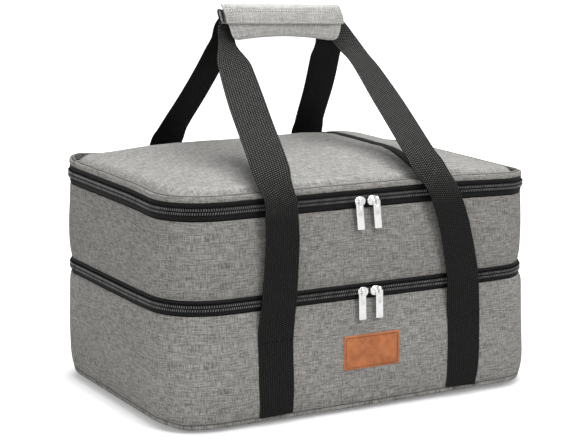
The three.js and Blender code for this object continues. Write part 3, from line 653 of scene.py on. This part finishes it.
def build_zips():
    seed = 31
    for deck, mid_z, reach, *bodies in ZIPS:
        for place, side, body, phase in (("lower", -1, bodies[0], 0), ("upper", 1, bodies[1], 0.5)):
            half, waves = f"{deck}_zip_{place}", ripple(0.18, 12, seed, 0.3)
            section = tape_section(mid_z, reach, side)
            swept(half + "_tape_cloth", section, waves, (TAPE, "zip_tape"), body, half + "_tape", plan=OPEN)
            build_coil(half + "_coil", mid_z, side, body, phase)
            seed += 1
    back = DEPTH / 2
    for deck, mid_z, reach, parent, child in ZIPS:
        bend = [(-1.4, -reach - 1), (-0.3, -reach * 0.7), (0.2, 0), (-0.3, reach * 0.7), (-1.4, reach + 1)]
        section = smooth([(back + out, mid_z + up) for out, up in bend], 5)
        loop = np.vstack([section, section[::-1] - [1.0, 0]])
        xs = np.linspace(-HINGE_WIDTH / 2 + 0.4, HINGE_WIDTH / 2 - 0.4, 60)
        rows = [[(x, y + 0.2 * lumps(x, z, 16, 41), z) for x in xs] for y, z in loop]
        faces, uv = grid(rows, xs, lengths(loop, closed=True), close_v=True, caps=True)
        halves = [f"{deck}_hinge_{place}_half" for place in ("lower", "upper")]
        strip = piece(f"{deck}_hinge_cloth", rows, faces, (SIDE_CLOTH, "grey_fabric"), None, *halves, uv=uv)
        cut = (lengths(section)[-1] * MM, HINGE_WIDTH * MM)
        start, end = ((0, back * MM, (mid_z + away) * MM) for away in (-4, 4))
        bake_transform(strip)
        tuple(start)
        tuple(end)


# Lid


def band_x(y):
    """The band's middle: it pulls to the left where it comes down to the front edge."""
    return LID_BAND_X - 8 * ramp(-y, 50, 120)


def crown_height(x, y, t, dip=1):
    """Height of the crown's top: swells by the band, its groove, a full rim and the dip at its seam."""
    z = LID_EDGE_Z + LID_RISE * (1 - t**CROWN_POWER) * (1 - 0.33 * ramp(x, 40, 190))
    fade = 1 - t**10
    beside = x - band_x(y)
    z += fade * (0.4 * bell((beside + 22) / 12) - 0.8 * bell((beside / 9) ** 2))
    z += fade * 2.6 * bell((beside - 26) / 18)
    z += fade * (0.9 * lumps(x, y, 85, 51) + 0.35 * lumps(x, y * 1.4, 26, 52))
    z += 2.4 * bell((t - 0.925) / 0.045) * (1 - ramp(y, 20, 90))
    return z - 4.6 * dip * ramp(t, 0.94, 0.985)


# how far out the crown's rings lie, closest together at its rim
LEVELS = [1, 0.993, 0.986, 0.979, 0.972, 0.965, 0.957, 0.948, 0.938, 0.926, 0.91, 0.89, 0.865, 0.83, 0.79]
LEVELS += [0.74, 0.68, 0.61, 0.53, 0.44, 0.34, 0.24, 0.13, 0.02]


def crowned(name, inset, drop, thickness, dip, look, node):
    """A crowned layer: underside from its middle out, a rounded edge, and its top back to the middle."""
    points, normals, _ = ROUND
    edge = points - normals * inset
    rows = []
    for lift, levels in ((-thickness, LEVELS[::-1]), (0, LEVELS)):
        for t in levels:
            z = [crown_height(x, y, t, dip) - drop + lift for x, y in edge * t]
            rows.append(np.column_stack([edge * t, z]))
    return layer(name, rows, look, "lid", node)


def plan_level(x, y):
    """How far out a point of the lid lies: 0 at its middle and 1 at its edge."""
    a, b, r = WIDTH / 2 - LID_INSET, DEPTH / 2 - LID_INSET, CORNER - LID_INSET
    u, v = abs(x), abs(y)
    t = max(u / a, v / b)
    if u > t * (a - r) and v > t * (b - r):
        total = u * (a - r) + v * (b - r)
        q = (a - r) ** 2 + (b - r) ** 2 - r**2
        t = (total - math.sqrt(total**2 - q * (u**2 + v**2))) / q
    return min(t, 1)


def build_lid():
    crown = crowned("lid_crown_cloth", LID_INSET, 0, 1.6, 1, (LID_CLOTH, "lid_fabric"), "lid_panel")
    pad = crowned("lid_padding", LID_INSET + 0.6, 2, 7.6, 0.78, (FOAM, "foam"), "lid_foam")
    lining = crowned("lid_lining", LID_INSET + 0.4, 10.3, 0.9, 0.78, (LINING, "liner"), "lid_liner")
    piping = oval(-0.8, UPPER_ZIP_Z + UPPER_BAND + 1.1, 1.5, 2.9, 14)
    look = (SIDE_CLOTH, "lid_fabric")
    swept("lid_edge_piping", piping, ripple(0.22, 10, 61, 0.2), look, "lid", "lid_piping")
    # a cord at the crown's seam in a grey darker than the lid cloth: the seam, with painted shade of its
    # groove
    seam = oval(-3.3, LID_EDGE_Z + 1.3, 0.8, 0.9, 8)
    swept("lid_seam_shade", seam, ripple(0.3, 8, 63, 0.2), (SEAM_SHADE, "lid_fabric"), "lid")
    reach, half = DEPTH / 2 - LID_INSET - 0.5, LID_BAND_HALF
    line = []
    for y in -reach * np.cos(np.linspace(0, math.pi, 61)):
        x = band_x(y)
        line.append((x, y, crown_height(x, y, plan_level(x, y)) + 0.15))
    section = [(-half, 0.4), (-half + 0.4, -0.4), (0, -0.4), (half - 0.4, -0.4), (half, 0.4)]
    section += [(half - 0.6, 1.1), (0, 1.25), (-half + 0.6, 1.1)]
    rows = np.array([[(x + a, y, z + h) for x, y, z in line] for a, h in section])
    faces, _ = grid(rows, close_v=True, caps=True)
    uv = per_corner(rows.reshape(-1, 3)[:, :2], faces)
    piece("lid_band_cloth", rows, faces, (BAND_CLOTH, "webbing"), "lid", "lid_band", uv=uv)


# Label patch


def rounded_rectangle(width, height, radius):
    points = []
    for x, z, start in ((1, 1, 0), (-1, 1, 90), (-1, -1, 180), (1, -1, 270)):
        corner = (x * (width / 2 - radius), z * (height / 2 - radius))
        for angle in np.radians(start + np.linspace(0, 90, 7)):
            points.append(corner + radius * np.array([math.cos(angle), math.sin(angle)]))
    return np.array(points)


def plate(name, shape, place, thickness, edge, *rest):
    """An upright plate with rounded edges, from an outline in X and Z round its own middle."""
    inward = unit((np.roll(shape, 1, axis=0) - np.roll(shape, -1, axis=0))[:, ::-1] * (1, -1))
    rings = [(edge, thickness), (0, thickness - edge), (0, edge), (edge * 0.3, edge * 0.3), (edge, 0)]
    flat = [(shape + inward * inset, depth) for inset, depth in rings]
    flat += [((shape + inward * edge) * scale, 0) for scale in (0.9, 0.6, 0.3, 0.01)]
    rows = np.array([np.insert(ring, 1, depth, axis=1) for ring, depth in flat]) + place
    faces, _ = grid(rows, close_u=True)
    faces.append(list(range(len(shape))))
    piece(name, rows, faces, *rest)


def build_label():
    """The bare leather patch with its stitched border."""
    width, height, z, margin = 63, 35, 60, 2.2
    front = -DEPTH / 2 - 2.1
    shape, look = rounded_rectangle(width, height, 1.4), (LEATHER, "leather")
    plate("leather_patch", shape, (0, front, z), 1.7, 0.5, look, "lower_box", "label_patch")
    seam = rounded_rectangle(width - 2 * margin, height - 2 * margin, 1.6)
    seam = np.vstack([seam, seam[:1]])
    path = np.column_stack([seam[:, 0], np.full(len(seam), front), seam[:, 1] + z])
    stitch_row("patch_stitches", path, (0, -1, 0), 2.7, (TAN_THREAD, "leather"), "lower_box", 0.72, 0.5)


# Webbing


def web_section(width):
    """Half-round edged section: (across, out) points of a band."""
    h, t = width / 2, WEB / 2
    top = [(-h, 0), (-h + 0.35, t * 0.75), (-h + 1.1, t), (-h / 2, t * 1.04), (0, t * 1.06)]
    top += [(h / 2, t * 1.04), (h - 1.1, t), (h - 0.35, t * 0.75), (h, 0)]
    return np.array(top + [(a, -o) for a, o in top[-2:0:-1]])


def webbing(name, stations, per_span, *nodes, inner=0, start_v=0, taper=0):
    """A band through stations of (point, across, width). inner is the sign of the side drawn in a near-black
    copy of the webbing, as painted shade.
    """
    points, across = (smooth([s[k] for s in stations], per_span) for k in (0, 1))
    widths = smooth([[s[2], 0] for s in stations], per_span)[:, 0]
    tangent = headings(points)
    across = unit(across - (across * tangent).sum(1)[:, None] * tangent)
    out = np.cross(tangent, across)
    run = lengths(points)
    thin = np.where(run > run[-1] - taper, 0.6, 1.0) if taper else 1.0
    sections = np.array([web_section(width) for width in widths])
    size, count = sections.shape[1], len(points)
    rows = []
    for part in sections.transpose(1, 0, 2):
        sag = 0.12 * np.array([lumps(r, part[0, 0], 16, 71) for r in run])
        rows.append(points + across * part[:, :1] + out * (part[:, 1] * thin + sag)[:, None])
    faces, _ = grid(rows, close_v=True, caps=True)
    cloth = [(a, r + start_v) for a in web_section(WEB_WIDTH)[:, 0] for r in run]
    uv = per_corner(cloth, faces)
    band = piece(name, rows, faces, (WEBBING, "webbing"), None, *nodes, uv=uv)
    # the inner side takes the near-black copy of the webbing: painted shade
    if inner:
        band.data.materials.append(WEBBING_SHADED)
        for index, polygon in enumerate(band.data.polygons):
            first_half = index // (count - 1) < size // 2
            polygon.material_index = int(first_half == (inner > 0))
    return band


def strap_x(z, side, turned):
    """The middle of a sewn strap. The front straps aren't sewn quite straight."""
    if side > 0:
        return STRAP_X * turned
    return STRAP_X + 2.3 - 0.0009 * (z - 43) ** 2 if turned > 0 else 1.9 - 0.038 * (z - BASE_RIM) - STRAP_X


def strap_root(name, side, turned):
    """The stretch sewn to the wall, up to the middle of the fold strip."""
    along = (1, 0, 0)
    stations = []
    for z in (BASE_RIM + 0.4, 12, 19, 28, 45, SEWN_TOP):
        point = (strap_x(z, side, turned), side * (SEWN_Y + base_out(z) + 0.15), z)
        stations.append((point, along, WEB_WIDTH - 2 * ramp(40 - z, 0, 30)))
    x = strap_x(SPLIT_Z, side, turned)
    stations.append(((x, side * (SEWN_Y + 0.9), SPLIT_Z), along, WEB_WIDTH))
    stations.append(((x, side * (SEWN_Y + 1.1), SPLIT_Z + 3), along, WEB_WIDTH - 0.6))
    root = webbing(name + "_strap_root", stations, 5, name + "_sewn_strap", taper=3.2)
    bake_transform(root)


# Each leg of the two loops from its fold strip up to the grip: its middle's x and its shown width
LEGS = {
    "front_left": (
        (-107, -107, -105.5, -104.5, -106, -106, -105.5, -104, -95, -84.8, -82, -79.5, -68),
        (38, 38.5, 37.5, 36, 34.6, 34.5, 37.5, 40.5, 40.5, 36.5, 20, 22, 24),
    ),
    "front_right": (
        (107, 105.2, 101.6, 87.2, 77, 71, 66.5, 63, 61.5, 59, 53.6, 42.5, 20),
        (38, 38.5, 36.8, 34.2, 33, 35, 38.5, 36, 34, 27.5, 24, 24, 24),
    ),
    "back_left": (
        (-106, -106, -105, -93.5, -85, -81, -80, -79, -78.5, -80.5, -80.5, -79, -71),
        (38, 38, 38, 38, 38, 38, 38, 34, 31.5, 29.5, 22, 22, 24),
    ),
    "back_right": (
        (106, 106, 105, 100, 96, 94, 90.5, 87, 69, 49.6, 41, 31, 14),
        (38, 38, 38, 38, 38, 38, 38, 34.5, 34.5, 33.5, 33, 25, 24),
    ),
}


def loop_side(name, side, turned, grip_y):
    """Half a loop from the fold strip to the grip, as (point, across, width) stations."""
    wide = (-turned, 0, 0)
    # the band twists towards the grip, so the folded top shows less of its width
    twisted = (-turned, 0, -0.2 if name in ("back_right", "front_left") else -0.7)
    standing = [(SEWN_Y + 0.9, SPLIT_Z), (FOLD_TOP_Y, FOLD_TOP), (STAND_Y - 4, LOWER_ZIP_Z + 3)]
    standing += [(STAND_Y, lerp(LOWER_ZIP_Z, UPPER_ZIP_Z, 0.65)), (STAND_Y + 0.5, UPPER_ZIP_Z - 5)]
    standing += [(STAND_Y - 1.5, LID_EDGE_Z - 2.5), (STAND_Y - 9, lerp(LID_EDGE_Z, LID_TOP_CLEAR, 0.47))]
    leaning = [(0, 0, wide), (0.42, 0.36, wide), (0.8, 0.68, wide), (0.965, 0.84, twisted)]
    leaning += [(1, 0.95, (-turned * 0.4, 0, -0.92)), (1, 1, (0, 0, -1))]
    leave_y = side * (DEPTH / 2 - 10)
    stations = [(side * y, z, wide) for y, z in standing]
    for inward, up, across in leaning:
        stations.append((lerp(leave_y, grip_y, inward), lerp(LID_TOP_CLEAR, GRIP_Z, up), across))
    return [((x, y, z), across, width) for x, width, (y, z, across) in zip(*LEGS[name], stations)]


def build_straps():
    for place, side in (("front", -1), ("back", 1)):
        grip_y = GRIP_Y + side * 2.2
        halves = []
        for hand, turned in (("left", -1), ("right", 1)):
            name = f"{place}_{hand}"
            strap_root(name, side, turned)
            halves.append(loop_side(name, side, turned, grip_y))
        middle = ((GRIP_X, grip_y, GRIP_Z), (0, 0, -1), GRIP_WIDTH - 2)
        stations = halves[0] + [middle] + halves[1][::-1]
        nodes = [place + part for part in ("_handle_loop", "_left_fold", "_right_fold")]
        loop = webbing(place + "_loop_webbing", stations, 8, *nodes, inner=-side, start_v=77)
        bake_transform(loop)


# Wrap


def rolled(name, midline, thickness, relief, *rest):
    """A padded sheet along X with a curved section; its mid-line's points are (left, right, y, z)."""
    line = smooth(midline, 6)
    tangent = headings(line[:, 2:])
    none = np.zeros((len(line), 2))
    side = np.column_stack([none, -tangent[:, 1], tangent[:, 0]]) * thickness / 2
    ahead = np.column_stack([none, tangent]) * thickness * 0.35
    loop = np.vstack([line[:1] - ahead[:1], line + side, line[-1:] + ahead[-1:], (line - side)[::-1]])
    centre = np.vstack([line[:1], line, line[-1:], line[::-1]])
    ends = np.array([0, 0.4, 1.2, 2.2, 3.0, 3.6, 4.2, 4.8, 5.6, 6.4, 7.0, 7.6, 8.2, 9.2]) / WRAP_LENGTH
    spread = np.concatenate([ends, np.linspace(0.09, 0.91, 31), 1 - ends[::-1]])
    rows = []
    for (left, right, *p), (_, _, *c) in zip(loop, centre):
        # the sheet thins towards its hemmed ends, and at the two rows of stitches inside each
        inward = np.minimum(spread, 1 - spread) * (right - left)
        thin = np.minimum(0.45 + 0.55 * np.sqrt(inward / 3), 1)
        thin -= 0.45 * (bell((inward - 3.6) / 0.9) + bell((inward - 7) / 0.9))
        x = GRIP_X + lerp(left, right, spread)
        y, z = (lerp(c[k], p[k], thin) for k in (0, 1))
        if relief:
            z = z + relief(x, z)
        rows.append(np.column_stack([x, y, z]))
    v = lengths(loop[:, 2:], closed=True)
    faces, uv = grid(rows, rows[0][:, 0], v, close_v=True, caps=True)
    return piece(name, rows, faces, *rest, uv=uv)


def build_wrap():
    low, high = GRIP_Z - GRIP_WIDTH / 2, GRIP_Z + GRIP_WIDTH / 2
    under = WRAP_UNDER_LENGTH / 2
    back_y, tongue_y = GRIP_Y + WRAP_HALF_DEPTH, GRIP_Y - WRAP_HALF_DEPTH
    flap_y, fold_y = tongue_y - 5.1, tongue_y - 2.8

    def arch(x, z):
        """The underside bends up between the two straps that leave it."""
        return (2.2 - 5 * ((x - GRIP_X - 5) / 57) ** 2) * ramp(366 - z, 0, 10)

    # the ends aren't square: the wrap is folded a little askew
    back_line = [(-50, 58, back_y, low + 7), (-50, 58, back_y + 1, GRIP_Z), (-50, 58, back_y, high - 5)]
    back_line += [(-51, 58, back_y - 2.4, high - 0.5)]
    tongue_line = [(-under, under, back_y - 1.5, low + 3), (-under, under, back_y - 6.5, low - 1.6)]
    tongue_line += [(-under, under, tongue_y + 9, low - 2.6), (-36, 42, tongue_y + 5, low - 2.9)]
    tongue_line += [(-50.5, 64, tongue_y + 1.4, low - 1.8), (-54.5, 67.5, tongue_y - 0.3, low + 3)]
    tongue_line += [(-58.2, 69.5, tongue_y - 0.6, low + 11), (-60, 66, tongue_y, high - 5)]
    flap_line = [(-52, 59, back_y - 4, high + 0.6), (-55, 62, GRIP_Y + 2.8, high + 2)]
    flap_line += [(-62, 64, GRIP_Y - 6, high + 3.8), (-67.5, 64.5, tongue_y - 2.6, high + 4.8)]
    flap_line += [(-67.6, 65, flap_y - 0.6, high + 3.6), (-66.2, 66.8, flap_y - 1.2, high - 1)]
    flap_line += [(-64, 68.9, flap_y - 1, high - 6.5), (-62.4, 70, flap_y, high - 12.5)]
    # an inner fold whose bound end shows beside the flap; the fold is drawn in the darker side cloth,
    # painted shade of the roll's open end, and the black binding runs on down beside the flap, partly
    # painted shade of the gap there
    fold_line = [(-71.2, -56, fold_y, high + 0.2), (-70.6, -56, fold_y - 0.1, high - 4)]
    fold_line += [(-69, -56, fold_y - 0.1, high - 9), (-67.4, -56, fold_y, high - 12.8)]
    edge = [(-64.6, high - 11.5), (-66, high - 5), (-67.4, high - 0.6), (-69.2, high + 0.4)]
    edge += [(-70.9, high + 0.2), (-70.8, high - 3), (-69.2, high - 8), (-67.6, high - 12.6)]

    look, body = (WRAP_CLOTH, "lid_fabric"), "back_handle"
    back = rolled("wrap_back_cloth", back_line, WRAP_SHEET, None, look, body, "wrap_back_panel")
    tongue = rolled("wrap_tongue_cloth", tongue_line, WRAP_SHEET, arch, look, body, "wrap_tongue")
    rolled("wrap_inner_fold", fold_line, 1.3, None, (SIDE_CLOTH, "lid_fabric"), body)
    path = smooth([(GRIP_X + x, fold_y - 0.5, z) for x, z in edge], 5)
    rows = tube(path, 0.75, 6, up=(0, 0, 1))
    faces, uv = grid(rows, lengths(path), np.arange(7), close_v=True, caps=True)
    piece("wrap_inner_binding", rows, faces, (BAND_CLOTH, "webbing"), body, uv=uv)
    flap = rolled("wrap_flap_cloth", flap_line, WRAP_SHEET, None, look, None, "wrap_flap")
    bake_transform(flap)
    stitch_wrap(flap_line)
    pile, look = rounded_rectangle(70, 7, 0.6), (LOOP_PILE, "hook_loop")
    for kind, y, body in (("loop", tongue_y - 2.4, "back_handle"), ("hook", tongue_y - 3.5, "flap")):
        place = (GRIP_X, y, high - 9.5)
        plate(f"wrap_{kind}_pile", pile, place, 0.8, 0.25, look, body, f"wrap_{kind}_strip")


def stitch_wrap(flap_line):
    """Rows of thread on the flap: down each end, along its top, and along the hook strip's edge."""
    per_span, count = 6, 30
    line = smooth(flap_line, per_span)[3 * per_span :]
    tangent = headings(line[:, 2:])
    normal = np.column_stack([tangent[:, 1], -tangent[:, 0]])
    outer = line[:, 2:] + normal * 0.9
    rows = []
    for column, inset in ((0, 3.6), (0, 7), (1, -3.6), (1, -7)):
        path = np.column_stack([GRIP_X + line[:, column] + inset, outer])
        rows.append((path, np.column_stack([np.zeros(len(outer)), normal])))
    for k, rise in ((11, 0), (len(outer) - 1, 1.5)):
        x = GRIP_X + np.linspace(line[k, 0] + 4, line[k, 1] - 4, count)
        path = np.column_stack([x, np.full(count, outer[k, 0] - 0.3), np.full(count, outer[k, 1] + rise)])
        rows.append((path, (0, -1, 0)))
    thread, hole_shade = (PALE_THREAD, "lid_fabric"), (HOLE_SHADE, "lid_fabric")
    for number, (path, out) in enumerate(rows):
        name = f"wrap_stitches_{number}"
        stitch_row(name, path, out, 2.6, thread, "flap", 0.62, 0.45)
        # short dark dots between the threads: painted shade of the needle holes
        stitch_row(name + "_hole_shade", path, out, 2.6, hole_shade, "flap", 0.24, 0.42, phase=0.5)


# Sliders and pulls


def build_slider(name, x, z, hook, body):
    """A domed slider body with a raised rim, and the bridge at hook that holds the pull."""
    front = -DEPTH / 2 - 4.1
    half_width, half_height, sides = 5.9, 4.9, 32
    shape = []
    for t in np.linspace(0, TURN, sides + 1)[:-1]:
        c, s = signed_power(math.cos(t), 0.85), signed_power(math.sin(t), 0.85)
        shape.append((half_width * c, half_height * s))
    profile = [(0.86, 1.75), (1, 1.4), (1, 0.4), (0.93, -0.2), (0.82, -0.55), (0.72, -0.5), (0.62, -0.2)]
    profile += [(0.5, -0.45), (0.36, -0.8), (0.2, -0.95), (0.02, -1)]
    rows = [[(x + px * k, front + depth, z + pz * k) for px, pz in shape] for k, depth in profile]
    faces, _ = grid(rows, close_u=True)
    top = len(profile) * sides
    faces += [list(range(sides)), list(range(top - sides, top))[::-1]]
    look = (METAL, "metal")
    piece(name + "_body", rows, faces, look, body, name)
    arch = [(3.7, 0.6), (3.9, -1.8), (2.6, -3.35), (0, -3.6), (-2.6, -3.35), (-3.9, -1.8), (-3.7, 0.6)]
    path = np.array([(hook, front + depth, z + up) for up, depth in smooth(arch, 4)])
    out = np.cross(headings(path), [1, 0, 0])
    section = [(1.25, 0.2), (0.9, 0.52), (-0.9, 0.52), (-1.25, 0.2)]
    section += [(-1.25, -0.3), (-0.9, -0.5), (0.9, -0.5), (1.25, -0.3)]
    rows = [path + (a, 0, 0) + out * o for a, o in section]
    faces, _ = grid(rows, close_v=True, caps=True)
    piece(name + "_bridge", rows, faces, look, body)


def build_pull(name, x, z, lean, body):
    """A tab with an eye and a ridged face: an outer and an inner outline, joined through rounded edges."""
    width, length, half, rim = 8, 28, 0.5, 0.22
    middle_y, top = -145.45, 0.6
    outer = rounded_rectangle(width, length, 1) + [0, top - length / 2]
    eye = rounded_rectangle(3.2, 2.8, 0.7) + [0, top - 2.8]
    rows = []
    for shape, sign, raised in ((outer, 1, 0), (eye, -1, 0.3)):
        centre, size = shape.mean(0), np.ptp(shape, axis=0)
        ring = [(rim * sign, -half), (0, -half + rim), (0, half - rim), (rim * sign, half)]
        for inset, depth in ring[::sign]:
            flat = centre + (shape - centre) * (1 - 2 * inset / size)
            y = middle_y + depth - (raised if depth < 0 else 0)
            rows.append([(x + a - lean * b, y, z + b) for a, b in flat])
    faces, _ = grid(rows, close_v=True, close_u=True)
    piece(name + "_tab", rows, faces, (METAL, "metal"), body, name)


def build_sliders():
    decks = (("upper", UPPER_ZIP_Z - 2.4, -7, 0.1), ("lower", LOWER_ZIP_Z - 0.3, -2, 0.03))
    for deck, z, middle, lean in decks:
        for hand, nose, bridge in (("left", 1, -0.8), ("right", -1, 4.4)):
            x = middle - nose * 7 - FRONT_SHIFT
            name = f"{deck}_{hand}"
            build_slider(name + "_slider", x + 1.2, z, x + bridge, "slider_" + name)
            build_pull(name + "_pull", x + bridge, z, lean, "pull_" + name)


# Stage: floor, lamps, world and camera


def build_floor():
    size = 6.0
    corners = [(-size, -size, 0), (size, -size, 0), (size, size, 0), (-size, size, 0)]
    data = bpy.data.meshes.new("floor")
    data.from_pydata(corners, [], [(0, 1, 2, 3)])
    floor = link("floor", data)
    floor.location.z = -0.0004
    n = Surface("floor_white", Roughness=0.9, Base_Color=(0.7, 0.7, 0.7), Specular_IOR_Level=0.1)
    reach = n.add("VectorMath", {0: n.place()}, operation="LENGTH")[1]
    glow = n.remap(reach, 0.35, 1.0, 0.62, 1.0)
    # painted contact shadow: the glow dies away where the bag closes in on the floor, to no less than 0.4 of
    # it, and not at all past the bag's left end
    open_sky = n.add("AmbientOcclusion", {"Distance": 0.022}, samples=24)["AO"]
    far = n.remap(n.split(n.place())["X"], -0.2, -0.226, 0.4, 1.0)
    closed = n.maths("MAXIMUM", far, n.remap(open_sky, 0.35, 0.95, 0.3, 1.0))
    seen = n.times(n.add("LightPath")["Is Camera Ray"], n.times(glow, closed))
    lift = n.add("Emission", {"Color": (1, 1, 1), "Strength": seen})[0]
    both = n.add("AddShader", {0: n.shader.outputs[0], 1: lift})[0]
    n.feed(n.tree.nodes["Material Output"].inputs[0], both)
    data.materials.append(n.material)


def build_world():
    world = bpy.data.worlds.new("studio")
    bpy.context.scene.world = world
    n = Wiring(world)
    background = n.tree.nodes["Background"]
    n.feed(background.inputs["Color"], (1, 1, 1))
    path = n.add("LightPath")
    seen = n.maths("MAXIMUM", path["Is Camera Ray"], n.times(path["Is Glossy Ray"], 0.75))
    n.feed(background.inputs["Strength"], n.remap(seen, 0.0, 1.0, 0.32, 1.0))


def build_lamps():
    for name, place, target, size, power in (
        ("key", (0.7, -1.9, 1.7), (0, 0, 0.15), 1.3, 25),
        ("fill", (-2.1, -0.7, 0.9), (0, 0, 0.12), 1.6, 14.5),
        ("top", (0.1, -0.2, 2.3), (0, 0, 0.2), 2.0, 46),
    ):
        lamp = bpy.data.lights.new(name, "AREA")
        lamp.shape = "DISK"
        lamp.size = size
        lamp.energy = power
        obj = link(name, lamp)
        obj.location = place
        obj.rotation_euler = (Vector(target) - Vector(place)).to_track_quat("-Z", "Y").to_euler()


def build_camera():
    """The camera that a fit of the photographed zip bands and base edge gave."""
    azimuth, elevation, roll = (math.radians(a) for a in (29.33, 12.68, 0.45))
    data = bpy.data.cameras.new("camera")
    data.sensor_width, data.lens = 36, 113.63
    data.shift_x, data.shift_y = -0.0012, 0.0893
    camera = link("camera", data)
    turned = Matrix.Rotation(-azimuth, 4, "Z") @ Matrix.Rotation(math.pi / 2 - elevation, 4, "X")
    aim, back = Matrix.Translation((-0.003, 0, 0.11)), Matrix.Translation((0, 0, 1.915))
    camera.matrix_world = aim @ turned @ Matrix.Rotation(roll, 4, "Z") @ back
    bpy.context.scene.camera = camera


build_camera()
build_walls()
build_insides()
build_zips()
build_lid()
build_label()
build_straps()
build_wrap()
build_sliders()
build_floor()
build_world()
build_lamps()
bpy.context.scene.view_settings.view_transform = "Standard"

bpy.context.view_layer.update()
